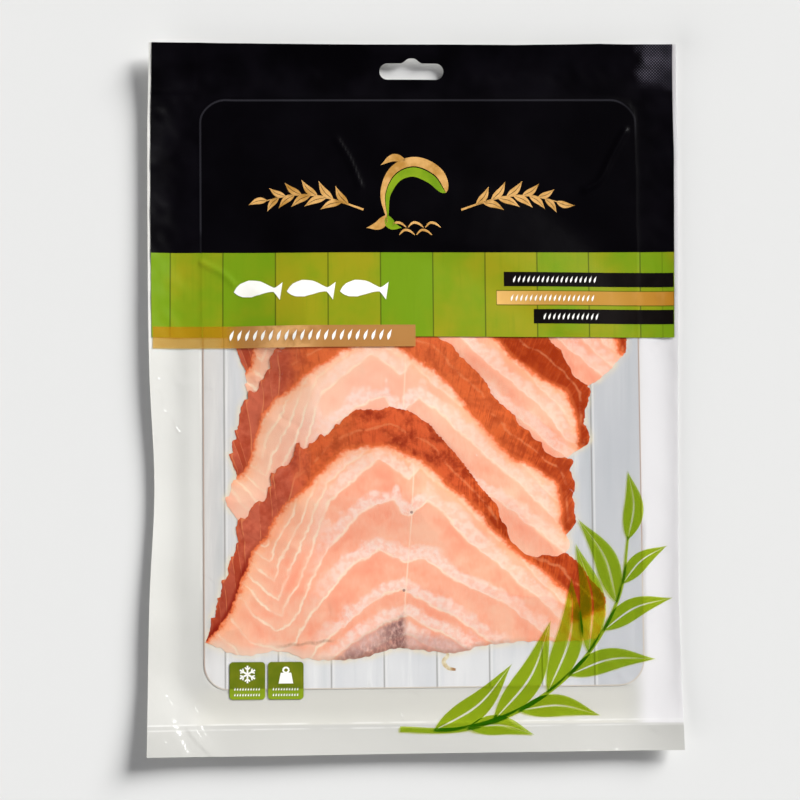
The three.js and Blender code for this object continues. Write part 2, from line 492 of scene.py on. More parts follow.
print(f"card: {CARD_WIDTH} by {CARD_LENGTH} mm, in a pouch of {POUCH_WIDTH} by {POUCH_LENGTH} mm")

# %% [markdown]
# A vacuum draws the sides of a flat film in, here a little more and there a little less. The lists say by
# how many millimetres an edge moves in at a few places along it, and the places between follow from them.
# The left side has a deeper pull of its own besides, below its middle. The print moves with the film, so
# one function does it for everything that lies on the pouch.

# %% Edges drawn in by the vacuum
PULL_DEPTH = 2.2
PULL_Y = -37
PULL_REACH = 34
LEFT_IN = ([-141, -100, -20, 20, 75, 110, 135], [0.1, 0.4, 0.3, 0, -0.6, -0.7, -0.2])
RIGHT_IN = ([-141, -119, -80, -21, 38, 98, 141], [0.2, 0.4, 1.3, 0.85, 0.2, -0.35, 0.4])
TOP_IN = ([-105, -85, -20, 40, 75, 105], [1.6, 1.1, 1.3, 1.1, 0.4, 0.9])
BOTTOM_IN = ([-105, -60, -20, 40, 105], [-0.1, 0.1, 0.5, 1.0, 1.4])
MIDDLE_IN = ([-105, 30, 70, 105], [0.2, 0, -0.25, -0.6])
MIDDLE_Y = 56
MIDDLE_REACH = 22


def drawn_in(x, y):
    """Where a point of a flat film comes to lie once the vacuum has drawn its edges in."""
    across, along = x / POUCH_WIDTH, y / POUCH_LENGTH
    pull = PULL_DEPTH * np.exp(-(((y - PULL_Y) / PULL_REACH) ** 2))
    left = (0.5 - across) ** 3 * pull + (0.5 - across) ** 4 * np.interp(y, *LEFT_IN)
    right = (0.5 + across) ** 4 * np.interp(y, *RIGHT_IN)
    down = (0.5 + along) ** 4 * np.interp(x, *TOP_IN) - (0.5 - along) ** 4 * np.interp(x, *BOTTOM_IN)
    down += np.exp(-(((y - MIDDLE_Y) / MIDDLE_REACH) ** 2)) * np.interp(x, *MIDDLE_IN)
    return x + left - right, y - down


edge_y = np.linspace(-POUCH_LENGTH / 2, POUCH_LENGTH / 2, 283)
left_edge = drawn_in(np.full(edge_y.shape, -POUCH_WIDTH / 2), edge_y)[0]
print(f"left edge: drawn in by up to {left_edge.max() + POUCH_WIDTH / 2:.1f} mm")

# %% [markdown]
# ## The slices of fish
#
# A slice is cut across the fillet, so it is an arch: smoked skin side along the top, cut base below. It
# is modelled as a grid stretched between its base line and its arch, because then a column of the grid
# runs from the base to the torn edge, and the edge can be as ragged as it likes. Each line is given by a
# few places in millimetres, and a smooth curve runs through them.
#
# A slice also says where its base starts, how far its pattern is shifted from the one of the first slice,
# how pale its flesh is, and where the inner line of its smoked rim runs.

# %% Lines of the slices
SLICE_THICKNESS = 2.6
SLICES = [
    {
        "name": "slice_1", "base": -97, "shift": (0, 0), "pale": 0,
        "arch": [
            (-82.5, -96.9), (-77.7, -81.4), (-73.8, -67.2), (-70.6, -59.4), (-70.2, -51), (-62.8, -43.1),
            (-58.1, -39.4), (-56.4, -30.6), (-48.9, -26.4), (-46.3, -19.6), (-42.8, -21.2), (-38.5, -17),
            (-32.9, -14), (-24.6, -6.9), (-16.7, -6.2), (-5.3, -5.9), (5.4, -12.3), (9.9, -17),
            (21.1, -30.6), (45, -60), (48, -60.5), (57, -61.6), (62.6, -64.8), (67.5, -70.9), (73.4, -78),
            (74.6, -83), (74, -88.5), (72.1, -93.5),
        ],
        "base_line": [
            (-82.5, -96.9), (-77.7, -98.8), (-73, -101), (-64.7, -101.9), (-54, -100.2), (-43.3, -103.3),
            (-24.2, -103.7), (-7.9, -99.6), (14.2, -101.7), (25.6, -98.8), (42.1, -97.3), (68.5, -96.6),
            (72.1, -93.5),
        ],
        "inner": [
            (-84, -98), (-79.4, -93.1), (-74.8, -87.9), (-69.9, -77.9), (-64.7, -62.2), (-59.7, -56.7),
            (-55.4, -49), (-50.3, -42.1), (-42.5, -35.6), (-31.8, -24.8), (-23.4, -20.6), (-10.4, -20.5),
            (-4.4, -23.4), (4.6, -27.6), (12.1, -35.1), (24, -44.9), (33.8, -56.2), (59.9, -78),
            (61.3, -85.5), (63, -88.8), (75, -83.4), (90, -80),
        ],
    },
    {
        "name": "slice_2", "base": -56, "shift": (-3.2, 41), "pale": 0.6,
        "arch": [
            (-69.9, -49.3), (-74.2, -42.3), (-72.4, -36), (-70.3, -31.2), (-72.7, -23.5), (-70.6, -14.4),
            (-68.9, -7.3), (-65.5, 1.5), (-62.4, 1.5), (-58.7, 9.1), (-56.3, 15.6), (-45, 21.5),
            (-28, 25.5), (-8, 26.5), (10.3, 21.6), (20, 13.3), (27.6, 4.9), (32, -2.7), (38, -7.1),
            (41, -11.7), (47, -16.1), (51.6, -16.3), (53.8, -23), (62.1, -26), (61, -30.2), (63.1, -35.1),
            (62.3, -42.5), (63, -50.8), (60, -54.7), (60.5, -60), (57, -66),
        ],
        "base_line": [
            (-69.9, -49.3), (-60, -56), (-30, -61), (0, -64), (30, -66), (57, -66),
        ],
        "inner": [
            (-90, -34), (-74, -31.6), (-68, -30.8), (-64.7, -22.9), (-62.8, -15.6), (-59.9, -7.3),
            (-55.1, -1.1), (-49.7, 1.8), (-44.4, 7.2), (-35.8, 13.2), (-25, 19.4), (-13, 21), (-5, 17.5),
            (4.8, 11.1), (14.6, 2.7), (19.9, -4.9), (26, -11.7), (32.6, -19.3), (37.9, -24.4),
            (45.4, -27.6), (51.5, -32.1), (56, -35.1), (57.3, -42.5), (58, -52.4), (61, -55), (80, -56),
        ],
    },
    {
        "name": "slice_3", "base": -25, "shift": (-3, 79), "pale": 0.4,
        "arch": [
            (-64, -12), (-66, -2), (-66.5, 5), (-67, 9.7), (-70, 18), (-71, 25), (-68, 35), (-60, 45),
            (-45, 52), (-20, 56), (0, 54), (20, 46), (38, 35), (50, 25), (54.3, 20.2), (61.1, 14.8),
            (65.4, 8.8), (68.9, 2.7), (69.3, -1.1), (68.1, -4.1), (66.8, -10.9), (68, -12.6),
            (68.7, -17.7), (66.3, -20.9), (63, -22.5), (58, -26),
        ],
        "base_line": [
            (-64, -12), (-50, -22), (-20, -28), (20, -30), (45, -29), (58, -26),
        ],
        "inner": [
            (-90, 6), (-70, 8.6), (-65.7, 10.4), (-64, 18), (-58, 32), (-40, 42), (-15, 44), (10, 36),
            (24, 28), (33, 20.9), (38.3, 14.8), (45.8, 9.6), (52.7, 5), (59.4, 2.1), (61.6, -1.9),
            (63.9, -8.6), (64.6, -15), (66.2, -21), (80, -24),
        ],
    },
    {
        "name": "slice_4", "base": 5, "shift": (4, 118), "pale": 0.15,
        "arch": [
            (-60, 6), (-66, 16), (-68, 30), (-66, 46), (-55, 65), (-35, 80), (-8, 86), (25, 84), (50, 74),
            (68, 58), (79, 42), (83.5, 27), (84.2, 19.8), (82.3, 15.6), (80.6, 13.6), (73.2, 6.6),
            (67, 2.6),
        ],
        "base_line": [
            (-60, 6), (-45, 2), (-20, -1), (20, -2), (50, -2), (67, 2.6),
        ],
        "inner": [
            (-90, 20), (-63, 24), (-60, 42), (-48, 58), (-30, 68), (-8, 72), (22, 70), (45, 61), (62, 48),
            (74, 34), (80.6, 22), (82, 16.6), (95, 14),
        ],
    },
]
print("slices:", ", ".join(shape["name"] for shape in SLICES))

# %% [markdown]
# The curve through the places is a chain of short cubic pieces. Each takes its direction from the
# neighbours of its two ends, so the curve passes through every place without a kink. The other tools
# measure along a line, square to it and away from it, and tell what lies inside a closed one.

# %% Curves and distances
CURVE_PARTS = 12


def run_along(line):
    """Length of a line from its start to each of its places."""
    return np.concatenate([[0], np.cumsum(np.hypot(*np.diff(line, axis=0).T))])


def normals_of(line):
    """Unit vectors square to a line at each of its places, to the left of its way."""
    along = np.gradient(line, axis=0)
    return np.stack([-along[:, 1], along[:, 0]], 1) / np.hypot(*along.T)[:, None]


def smooth_line(points, count):
    """Evenly spaced places on a smooth curve through the points."""
    knots = np.array(points, float)
    before = np.vstack([2 * knots[0] - knots[1], knots[:-2], knots[-2:-1]])[: len(knots) - 1]
    after = np.vstack([knots[2:], 2 * knots[-1] - knots[-2]])
    part = np.linspace(0, 1, CURVE_PARTS + 1)[:-1, None]
    runs = []
    for back, start, end, ahead in zip(before, knots[:-1], knots[1:], after):
        run = (2 * start + (end - back) * part + (2 * back - 5 * start + 4 * end - ahead) * part**2
               + (3 * start - back - 3 * end + ahead) * part**3) / 2
        runs.append(run)
    fine = np.vstack([*runs, knots[-1:]])
    length = run_along(fine)
    wanted = np.linspace(0, length[-1], count)
    return np.stack([np.interp(wanted, length, fine[:, axis]) for axis in (0, 1)], 1)


def distance_to(x, y, line):
    """Distance in millimetres from each place to a line."""
    nearest = np.full(np.shape(x), np.inf)
    for (ax, ay), (bx, by) in zip(line[:-1], line[1:]):
        dx, dy = bx - ax, by - ay
        part = np.clip(((x - ax) * dx + (y - ay) * dy) / (dx * dx + dy * dy + 1e-12), 0, 1)
        nearest = np.minimum(nearest, np.hypot(x - ax - part * dx, y - ay - part * dy))
    return nearest


def inside(x, y, loop):
    """True for each place inside a closed line."""
    odd = np.zeros(np.shape(x), bool)
    for (ax, ay), (bx, by) in zip(loop, np.roll(loop, -1, 0)):
        if ay != by:
            crosses = ((ay > y) != (by > y)) & (x < (bx - ax) * (y - ay) / (by - ay) + ax)
            odd ^= crosses
    return odd


# %% [markdown]
# A slice is full in its middle and thins out towards its base and its arch, as a slice of something soft
# does when it is cut on the slant. What lies over the edge of another slice follows that slope.

# %% Height of the pile
LAYER_RAMP = 20
EDGE_TAPER = 25
EDGE_DROP = 0.92
EDGE_BEND = 1.15
EDGE_FOOT = 5
ARCH_PLACES = 110


def thinning(edge):
    """The share of its thickness that a slice has lost at a distance from its edge."""
    return EDGE_DROP * np.clip(1 - edge / EDGE_TAPER, 0, 1) ** EDGE_BEND


def layer_at(which, x, y):
    """The share of its thickness that a slice adds under a place."""
    shape = SLICES[which]
    starts = ramp(y, shape["base"] - LAYER_RAMP / 2, shape["base"] + LAYER_RAMP)
    arch = smooth_line(shape["arch"], ARCH_PLACES)
    loop = np.vstack([(arch[0, 0], -POUCH_LENGTH), arch, (arch[-1, 0], -POUCH_LENGTH)])
    away = distance_to(x, y, loop)
    beyond = (1 - EDGE_DROP) * (1 - ramp(away, 0, EDGE_FOOT))
    return starts * np.where(inside(x, y, loop), 1 - thinning(away), beyond)


def slice_top(which, x, y):
    """Upper face of a slice, draped over the card and over every lower slice that it lies on."""
    below = sum(layer_at(lower, x, y) for lower in range(which + 1, len(SLICES)))
    return CARD_TOP + SLICE_THICKNESS * (1 + below)


# %% [markdown]
# The flesh of a fish is a stack of thin muscle blocks with pale walls of fat between them. In a slice the
# walls show as nested zigzag lines: down to a sharp valley near the left side, up to a peak, into a small
# notch at the backbone, and down again on the right. Five of them are given. Those above repeat the first
# one, a step higher each time, and leaning to the left at the valley; those below repeat the last one.
# Every vertex is told its count of walls from the first one down, and the material draws a line at each
# whole number.

# %% Walls of fat
WALL_LINES = [
    [(-84, -60), (-72, -70.7), (-60, -81.6), (-52.3, -86.6), (-49.6, -77.8), (-43.6, -67.5),
     (-38.6, -55.2), (-33.8, -41), (-28, -35.9), (-14.2, -25), (-9, -28.5), (-2.7, -33.7), (1.4, -29.6),
     (14.6, -40), (44.6, -68.4), (84, -109)],
    [(-84, -66), (-72, -75.5), (-61.6, -87.1), (-55, -92.3), (-50.3, -91), (-46.3, -85.5), (-43, -76.7),
     (-34.3, -60), (-21.2, -46.3), (-15, -42.9), (-9, -41.7), (-6.2, -46.3), (-2.8, -48.6), (4.2, -42.3),
     (14.6, -51), (48.5, -80.9), (84, -116)],
    [(-84, -75), (-72, -87), (-65.5, -96.8), (-53.8, -99.9), (-47.4, -97.5), (-43.1, -88.8),
     (-32.1, -74.6), (-24.9, -66.9), (-14.9, -60.7), (-4.6, -65.8), (3.4, -65.3), (35.1, -83.2),
     (56.2, -98), (84, -122)],
    [(-84, -86), (-65.5, -105.7), (-45.7, -107.7), (-37.1, -98.6), (-25.5, -88.3), (-12.4, -78.3),
     (-5.7, -76.9), (0.5, -79.7), (14.9, -86.6), (28.1, -96.9), (84, -136)],
    [(-84, -97), (-45.7, -115.5), (-34, -105.8), (-20, -93.8), (-8, -88.4), (-3, -87.7), (9.1, -93.2),
     (20.8, -100.3), (84, -146)],
]
WALL_STEP = 6.8
WALL_LEAN = 1.7
VALLEY_X = (-22, -42)
WALL_GUESSES = 14


def walls(x, y, shift):
    """Count of walls from the first one down to each place; negative above it."""
    x, y = x - shift[0], y - shift[1]
    y = y + 0.5 * ripple(x, y, 40, 5)
    lines = [np.interp(x, *zip(*line)) for line in WALL_LINES]
    lean = WALL_LEAN * ramp(x, *VALLEY_X)
    count = np.zeros(np.shape(x))
    for _ in range(WALL_GUESSES):
        line = np.interp(x - lean * count, *zip(*WALL_LINES[0]))
        count = np.minimum((line - y) / WALL_STEP, 0)
    count = np.where(y < lines[0], 0, count)
    for number, (upper, lower) in enumerate(zip(lines[:-1], lines[1:])):
        within = number + (upper - y) / np.maximum(upper - lower, 3)
        count = np.where(y < upper, within, count)
    return np.where(y < lines[-1], len(lines) - 1 + (lines[-1] - y) / WALL_STEP, count)


def wall_spacing(x, y, shift):
    """Distance from one wall to the next at each place, square to the walls, in millimetres."""
    nudge = 0.4
    across = (walls(x + nudge, y, shift) - walls(x - nudge, y, shift)) / (2 * nudge)
    along = (walls(x, y + nudge, shift) - walls(x, y - nudge, shift)) / (2 * nudge)
    return 1 / np.maximum(np.hypot(across, along), 0.02)


print(f"walls: {len(WALL_LINES)} drawn, and the others {WALL_STEP} mm apart")

# %% [markdown]
# The torn edge of a slice is the smooth arch moved out and in: by small random waves, and on its left
# side also by a saw of flakes. The same flakes give the smoked rim its stripes later on, so their count
# along the arch is kept.

# %% Torn edges
COLUMNS = 330
FLAKE_LENGTH = 8.5
FLAKE_STEP = 1.5
FLAKY_SIDE = (14, 36)
WHOLE_ENDS = 8


def slice_outline(which):
    """Ragged arch and base line of a slice, both from its left foot to its right foot."""
    shape = SLICES[which]
    arch = smooth_line(shape["arch"], COLUMNS)
    base = smooth_line(shape["base_line"], COLUMNS)
    flakes = run_along(arch) / FLAKE_LENGTH + 0.3 * ripple(*arch.T, 19, 70 + which)
    left = ramp(shape["shift"][0] - arch[:, 0], *FLAKY_SIDE)
    torn = 0.3 * ripple(*arch.T, 6.0, 10 + which) + 0.2 * ripple(*arch.T, 1.9, 20 + which)
    torn += FLAKE_STEP * (0.1 + 0.9 * left) * (flakes % 1 - 0.5)
    ends = np.minimum(np.arange(COLUMNS), np.arange(COLUMNS)[::-1]) / WHOLE_ENDS
    ragged = arch + normals_of(arch) * (torn * np.clip(ends, 0, 1))[:, None]
    base[:, 1] += 0.3 * ripple(*base.T, 4.0, 30 + which) * np.clip(ends, 0, 1)
    return arch, ragged, base, flakes


def slice_loop(which, skip):
    """The closed outline of a slice, with one in so many of its places."""
    _, ragged, base, _ = slice_outline(which)
    return np.vstack([ragged[::skip], base[:: -2 * skip]])


def beyond_fish(x, y):
    """Distance outside the pile of slices; 0 on it."""
    away = np.full(np.shape(x), np.inf)
    for which in range(len(SLICES)):
        loop = slice_loop(which, 3)
        away = np.where(inside(x, y, loop), 0, np.minimum(away, distance_to(x, y, loop)))
    return away


# %% [markdown]
# Each vertex of a slice is also told where it lies: how far inside the smoked rim, how far from the edge,
# how far along the arch, in which flake, and where in the pattern of walls. The material needs no picture
# then, because it can work out from these numbers what grows there. The underside follows the slices
# below.

# %% Model a slice
ROWS = 118
ROW_BEND = 1.12
TORN_SHARE = 0.86
INNER_PLACES = 160
CONTENT_DROP = 0.37
LYING_DROP = 0.2
RELIEF = 0.15
SOFT_EDGE = 10
LEAST_DEPTH = 0.03
SPINE_Y = [-80, -49, -31]
SPINE_X = [-4.4, -1.9, -1.0]


def relief_of(which, x, y, rim, count):
    """Low bumps of a slice: soft waves, and a furrow at each wall of fat or a grain on the rim."""
    waves = 0.16 * ripple(x, y, 17, 40 + which) + 0.07 * ripple(x, y, 5, 50 + which)
    grain = 0.06 * ripple(x, y, 2.6, 60 + which)
    return waves + np.where(rim > 0, grain, 0.1 * np.cos(2 * math.pi * count))


def make_slice(which):
    shape = SLICES[which]
    arch, ragged, base, flakes = slice_outline(which)
    up = 1 - (1 - np.linspace(0, 1, ROWS)) ** ROW_BEND
    share = up[:, None, None]
    flat = base * (1 - share) + arch * share + (ragged - arch) * ramp(share, TORN_SHARE, 1.0)
    x, y = flat[..., 0], flat[..., 1]
    edge = distance_to(x, y, np.vstack([ragged, base[::-1]]))
    inner = smooth_line(shape["inner"], INNER_PLACES)
    core = np.vstack([inner, (inner[-1, 0], -160), (inner[0, 0], -160)])
    rim = np.where(inside(x, y, core), -1, 1) * distance_to(x, y, inner)
    count = walls(x, y, shape["shift"])
    relief = RELIEF * relief_of(which, x, y, rim, count) * np.clip(edge / SOFT_EDGE, 0, 1)
    top = slice_top(which, x, y)
    z = top - CONTENT_DROP + relief - SLICE_THICKNESS * thinning(edge)
    piece = grid_piece(shape["name"], np.dstack([x, y, z]))
    local_x, local_y = x - shape["shift"][0], y - shape["shift"][1]
    noted = {
        "rim": rim,
        "edge": edge,
        "along": np.broadcast_to(run_along(arch), x.shape),
        "flakes": np.broadcast_to(flakes, x.shape),
        "walls": count,
        "spacing": wall_spacing(x, y, shape["shift"]),
        "spine": local_x - np.interp(local_y, SPINE_Y, SPINE_X),
        "local_x": local_x,
        "local_y": local_y,
        "pale": np.full(x.shape, shape["pale"]),
    }
    for name, values in noted.items():
        note(piece, name, values)
    thicken_unevenly(piece, np.maximum(z - top + SLICE_THICKNESS + LYING_DROP, LEAST_DEPTH))
    return piece


slices = [make_slice(which) for which in range(len(SLICES))]
print(f"slices: each a grid of {ROWS} by {COLUMNS} places")

# %% [markdown]
# ### Flesh
#
# The same material paints all slices. Between two walls the flesh turns from a deep salmon pink to a pale
# one; each wall is a thin cream line, broad and milky near the backbone. The distances are worked out in
# millimetres, so a wall is as thin where the walls stand far apart as where they crowd.

# %% Flesh
FLESH_DEEP = colour(254, 160, 128)
FLESH_LIGHT = colour(255, 196, 165)
FLESH_PALE = colour(255, 213, 188)
MILK = colour(255, 222, 208)
WALL = colour(255, 228, 200)


def paint_flesh(paint, walls, spacing, local_x, patch, cloud, fibre):
    """Salmon pink between the walls of fat; returns the colour and the mask of the thin walls."""
    vein = paint.noise(9, 2)
    fleck = paint.noise(2.2, 3)
    wobble = (patch - 0.5) * 2.4 + (cloud - 0.5) * 4.5 + (fleck - 0.5) * 1.1
    part = (walls + wobble / spacing).fraction()
    near = part.least(1 - part) * spacing
    above = (1 - part) * spacing
    middle = local_x.step(-46, -26)
    right = local_x.step(8, 50)
    line = near.step(0.75, 0.15) * (0.25 + 0.9 * vein.step(0.32, 0.6))
    line = line * (1 - 0.3 * middle) * (1 - 0.5 * right)
    reach = 1.2 + 9 * vein
    milk = above.step(reach, reach * 0.55) * middle * (1 - 0.4 * right)
    milk = milk * (0.45 + 0.75 * fleck.step(0.35, 0.62))
    tone = cloud * 0.9 + fibre * 0.35 + patch * 0.35 + part * 0.22
    pale = paint.attribute("pale") * (0.35 + 0.9 * cloud) * (1 - 0.9 * local_x.step(-16, 34))
    flesh = paint.layers(
        FLESH_DEEP,
        (tone.step(0.6, 1.2), FLESH_LIGHT),
        (near.step(2.4, 0.3) * 0.3, FLESH_LIGHT),
        (pale, FLESH_PALE),
        (milk * 0.75, MILK),
        (line * 0.85, WALL),
    )
    return flesh, line


# %% [markdown]
# ### Smoked rim
#
# Smoke and salt turn the outside of a fillet brown. Along the top of the arch the rim is mottled. On the
# left it breaks into dull flakes, and on the right it is deep red, with fibres that run across it. Each
# of these looks is a coat that is laid over the one before it, where a mask lets it through.

# %% Smoked rim
RIM_DEEP = colour(152, 48, 20)
RIM_LIGHT = colour(214, 92, 48)
RIM_ORANGE = colour(222, 108, 56)
RIM_DULL = colour(184, 74, 48)
RIM_PINK = colour(210, 106, 80)
RIM_CRACK = colour(230, 142, 94)
RIM_RIGHT = colour(158, 48, 6)
RIM_TIP = colour(216, 92, 36)
RIM_DARK = colour(150, 46, 24)
RIM_SEAM = colour(140, 18, 4)


def paint_rim(paint, rim, edge, local_x, local_y, patch, cloud, grain):
    along = paint.attribute("along")
    pale = paint.attribute("pale")
    fibre_place = {"X": along * 1.1, "Y": rim * 0.14, "Z": local_y * 0.02}
    fibre_vector = paint.node("ShaderNodeCombineXYZ", inputs=fibre_place)
    fibre_inputs = {"Vector": fibre_vector, "Scale": 1.0, "Detail": 3.0}
    fibre = paint.node("ShaderNodeTexNoise", inputs=fibre_inputs)
    blotch = paint.noise(5.5, 3)
    mottle = paint.noise(2.6, 2)
    share = rim / (rim + edge + 0.01)
    flakes = paint.attribute("flakes") + 0.55 * (1 - share)
    flake = paint.random(flakes)
    part = flakes.fraction()

    left = (local_x + blotch * 14).step(-32, -44)
    right = local_x.step(6, 34)
    shoulder = local_x.step(-50, -42) * local_x.step(-18, -28) * (0.2 + mottle)
    first = pale.step(0.1, 0.0)
    second = pale.step(0.5, 0.6)
    third = pale.step(0.3, 0.4) - second
    crack = (abs(share - 0.15 - 0.75 * cloud) * (rim + edge)).step(0.8, 0.1)
    thread = (part.least(1 - part) * FLAKE_LENGTH).step(0.42, 0.1) * patch.step(0.36, 0.5)
    seam = rim.step(2.2, 0.5) * local_x.step(-50, -60) * local_y.step(-52, -70) * first

    tip = paint.layers(
        RIM_RIGHT,
        ((blotch * 0.8 + fibre * 0.4).step(0.52, 0.72), RIM_TIP),
        (local_x.step(42, 60) * 0.6, RIM_RIGHT),
    )
    dull = paint.mix((blotch * 0.5 + mottle * 0.3 + flake * 0.3).step(0.42, 0.72), RIM_DULL, RIM_PINK)
    return paint.layers(
        RIM_DEEP,
        ((blotch * 0.9 + grain * 0.2).step(0.38, 0.64), RIM_LIGHT),
        (mottle.step(0.54, 0.74) * 0.4, RIM_ORANGE),
        (shoulder * 0.6, RIM_ORANGE),
        (right * 0.9, tip),
        (second * (1 - 0.8 * local_x.step(30, 56)) * (0.1 + 0.9 * mottle), RIM_ORANGE),
        (third * 0.6, RIM_RIGHT),
        (left * 0.88, dull),
        (left * local_y.step(-60, -76) * (0.3 + 0.5 * patch), RIM_DARK),
        (fibre.step(0.54, 0.74) * (1 - left) * 0.2, RIM_ORANGE),
        (fibre.step(0.46, 0.34) * (1 - left) * 0.3, RIM_DEEP),
        (crack * (1 - left) * blotch.step(0.4, 0.6) * 0.42, RIM_CRACK),
        (edge.step(1.1, 0.2) * mottle.step(0.4, 0.6) * 0.5, RIM_ORANGE),
        (thread * left * 0.62, RIM_CRACK),
        (rim.step(1.6, 0.2) * (1 - 0.7 * left) * (0.2 + 0.7 * mottle), RIM_ORANGE),
        (seam * 0.85, RIM_SEAM),
    )


# %% [markdown]
# Flesh and rim meet in one material. The flesh gets its backbone line, its small stains, and painted
# shade along the base of the first slice and in a fold there. Then comes the smoke: a warm glow, an amber
# veil and an orange fringe, each closer to the rim than the one before, and at last the brown itself. The
# border between them is frayed by noise.

# %% Fish material
GLOW = colour(255, 200, 160)
AMBER = colour(255, 166, 112)
FRINGE = colour(236, 108, 50)
BLOOD = colour(128, 86, 84)
DULL = colour(208, 160, 150)
BROWN_SHADE = colour(150, 108, 84)
FOOT = colour(240, 212, 190)
DOTS = [(-1.9, -46.4), (-4.9, -76.9)]
FOLD = (-50, -98.2)
FOLD_RISE = 0.11


def low_end_coats(paint, walls, edge, spine, local_x, local_y, patch, hairs):
    """Coats for the low end of slice one: foot, dull wedge with stains, painted shade at base and fold."""
    first = paint.attribute("pale").step(0.1, 0.0)
    base = first * local_y.step(-84, -92)
    low = (walls + (patch - 0.5) * 0.5).step(3.8, 4.25) * first
    low = low * local_x.step(-38, -24) * local_x.step(50, 26)
    low = low * spine.step(2, -2).most(edge.step(8, 3.5))
    by_spine = (spine + 2).step(-12, -1) * (spine + 2).step(3.5, 1)
    by_base = edge.step(6, 0.5) * spine.step(1, -5)
    stain = low * by_spine.most(by_base * 0.75) * (hairs * 0.9 + patch * 0.5).step(0.35, 0.85)
    # Painted shade: a brown line along the base edge of the slice.
    base_shade = base * edge.step(2.2, 0.3) * (0.3 + 0.7 * hairs)
    # Painted shade: a darker line where the slice folds.
    fold = local_y - FOLD[1] - local_x.sine() * 0.25 - (local_x - FOLD[0]) * FOLD_RISE
    fold_shade = abs(fold + patch - 0.5).step(1.0, 0.1) * local_x.step(-56, -50)
    fold_shade = fold_shade * local_x.step(-31, -35) * first
    coats = [
        (base * edge.step(5, 0.5) * local_x.step(-26, -46) * 0.7, FOOT),
        (low * (0.3 + 0.7 * hairs), DULL),
        (stain * 0.9, BLOOD),
        (base_shade * local_x.step(-44, -28) * local_x.step(50, 30) * 0.55, BROWN_SHADE),
        (fold_shade * (hairs * 0.9 - 0.05), BROWN_SHADE),
    ]
    for dot_x, dot_y in DOTS:
        off_x, off_y = local_x - dot_x, local_y - dot_y
        dot = (off_x * off_x + off_y * off_y).step(0.5, 0.1) * first
        coats.append((dot * 0.75, BLOOD))
    return coats


def paint_fish():
    paint = Paint("smoked_fish")
    walls, spacing = paint.attribute("walls"), paint.attribute("spacing")
    rim, edge, spine = paint.attribute("rim"), paint.attribute("edge"), paint.attribute("spine")
    local_x, local_y = paint.attribute("local_x"), paint.attribute("local_y")
    cloud = paint.noise(16, 3)
    patch = paint.noise(5, 3)
    fibre = paint.noise(1.0, 3, (2.0, 0.35, 1))
    grain = paint.noise(1.3, 3)
    hairs = paint.noise(1.5, 4, (1.3, 0.8, 1))

    flesh, line = paint_flesh(paint, walls, spacing, local_x, patch, cloud, fibre)
    glow = rim.step(-16, 0) * (0.2 + 1.0 * cloud) * (1 - 0.6 * local_x.step(0, 40))
    spine_line = abs(spine).step(0.45, 0.1) * local_y.step(-90, -84) * (0.25 + 0.5 * patch)
    fray = (patch - 0.5) * 3.4 + (grain - 0.5) * 2.4
    shade = paint.layers(
        flesh,
        (glow * 0.6, GLOW),
        (spine_line, WALL),
        *low_end_coats(paint, walls, edge, spine, local_x, local_y, patch, hairs),
        ((rim + fray * 1.6).step(-5, -0.5) * 0.5, AMBER),
        ((rim + fray).step(-1.9, 0.0) * 0.9, FRINGE),
        ((rim + fray).step(-0.2, 0.3), paint_rim(paint, rim, edge, local_x, local_y, patch, cloud, grain)),
    )
    height = fibre * 0.2 + grain * 0.15 + patch * 0.35 - line * 0.2
    normal = paint.bump(height, 0.3, 0.35)
    return paint.done(paint.surface(shade, 0.55 + patch * 0.12, 0.1, normal))


fish_material = paint_fish()
for piece in slices:
    finish_piece(piece, fish_material)

# %% [markdown]
# ## The card
#
# The card is stiff board. It is a grid with rounded corners, extruded down, so that each vertex can be
# told how far it lies from the fish and from the cut edge.

# %% Model the card
CARD_BOTTOM = 0.3
CARD_FACE = 1.66
CARD_STEP = 1.4


def make_card():
    across, along = (-CARD_WIDTH / 2, CARD_WIDTH / 2), (-CARD_LENGTH / 2, CARD_LENGTH / 2)
    x, y = rounded_grid(across, along, CARD_CORNER, CARD_STEP)
    turned_x = CARD_MIDDLE[0] + x * math.cos(CARD_TURN) - y * math.sin(CARD_TURN)
    turned_y = CARD_MIDDLE[1] + y * math.cos(CARD_TURN) + x * math.sin(CARD_TURN)
    card = grid_piece("card", np.dstack([turned_x, turned_y, np.full(x.shape, CARD_FACE)]))
    note(card, "away", beyond_fish(turned_x, turned_y))
    note(card, "cut", -beyond_card(turned_x, turned_y))
    thicken_down(card, CARD_FACE - CARD_BOTTOM)
    return card


card = make_card()

# %% [markdown]
# The board is printed with whitewashed planks, and its cut edge shows brown. Close to the slices their
# juice has spread and tints it. The planks of the green print further on are laid out the same way, so
# one function counts planks for both.

# %% Whitewashed planks
PLANK = 20.7
FIRST_SEAM = -74.9
CARD_CUT = 0.7
CARD_WHITE = colour(226, 225, 224)
CARD_GREY = colour(206, 207, 209)
PLANK_GREY = colour(201, 203, 207)
STREAK_DARK = colour(186, 192, 194)
STREAK_LIGHT = colour(236, 236, 234)
GRAIN_GREY = colour(182, 183, 186)
LEFT_TINT = colour(206, 199, 190)
LOW_TINT = colour(232, 232, 232)
RIGHT_TINT = colour(190, 192, 196)
SEAM_LIGHT = colour(238, 237, 235)
SEAM_DARK = colour(136, 131, 126)
JUICE = colour(236, 222, 192)
BOARD = colour(178, 150, 132)
BOARD_PALE = colour(208, 196, 180)


def planks_along(paint, x, first_seam, width):
    """Planks side by side: the place across one, the distance to a seam, and a number for each."""
    planks = (x - first_seam) / width
    part = planks.fraction()
    return part * width, part.least(1 - part) * width, paint.random(planks)


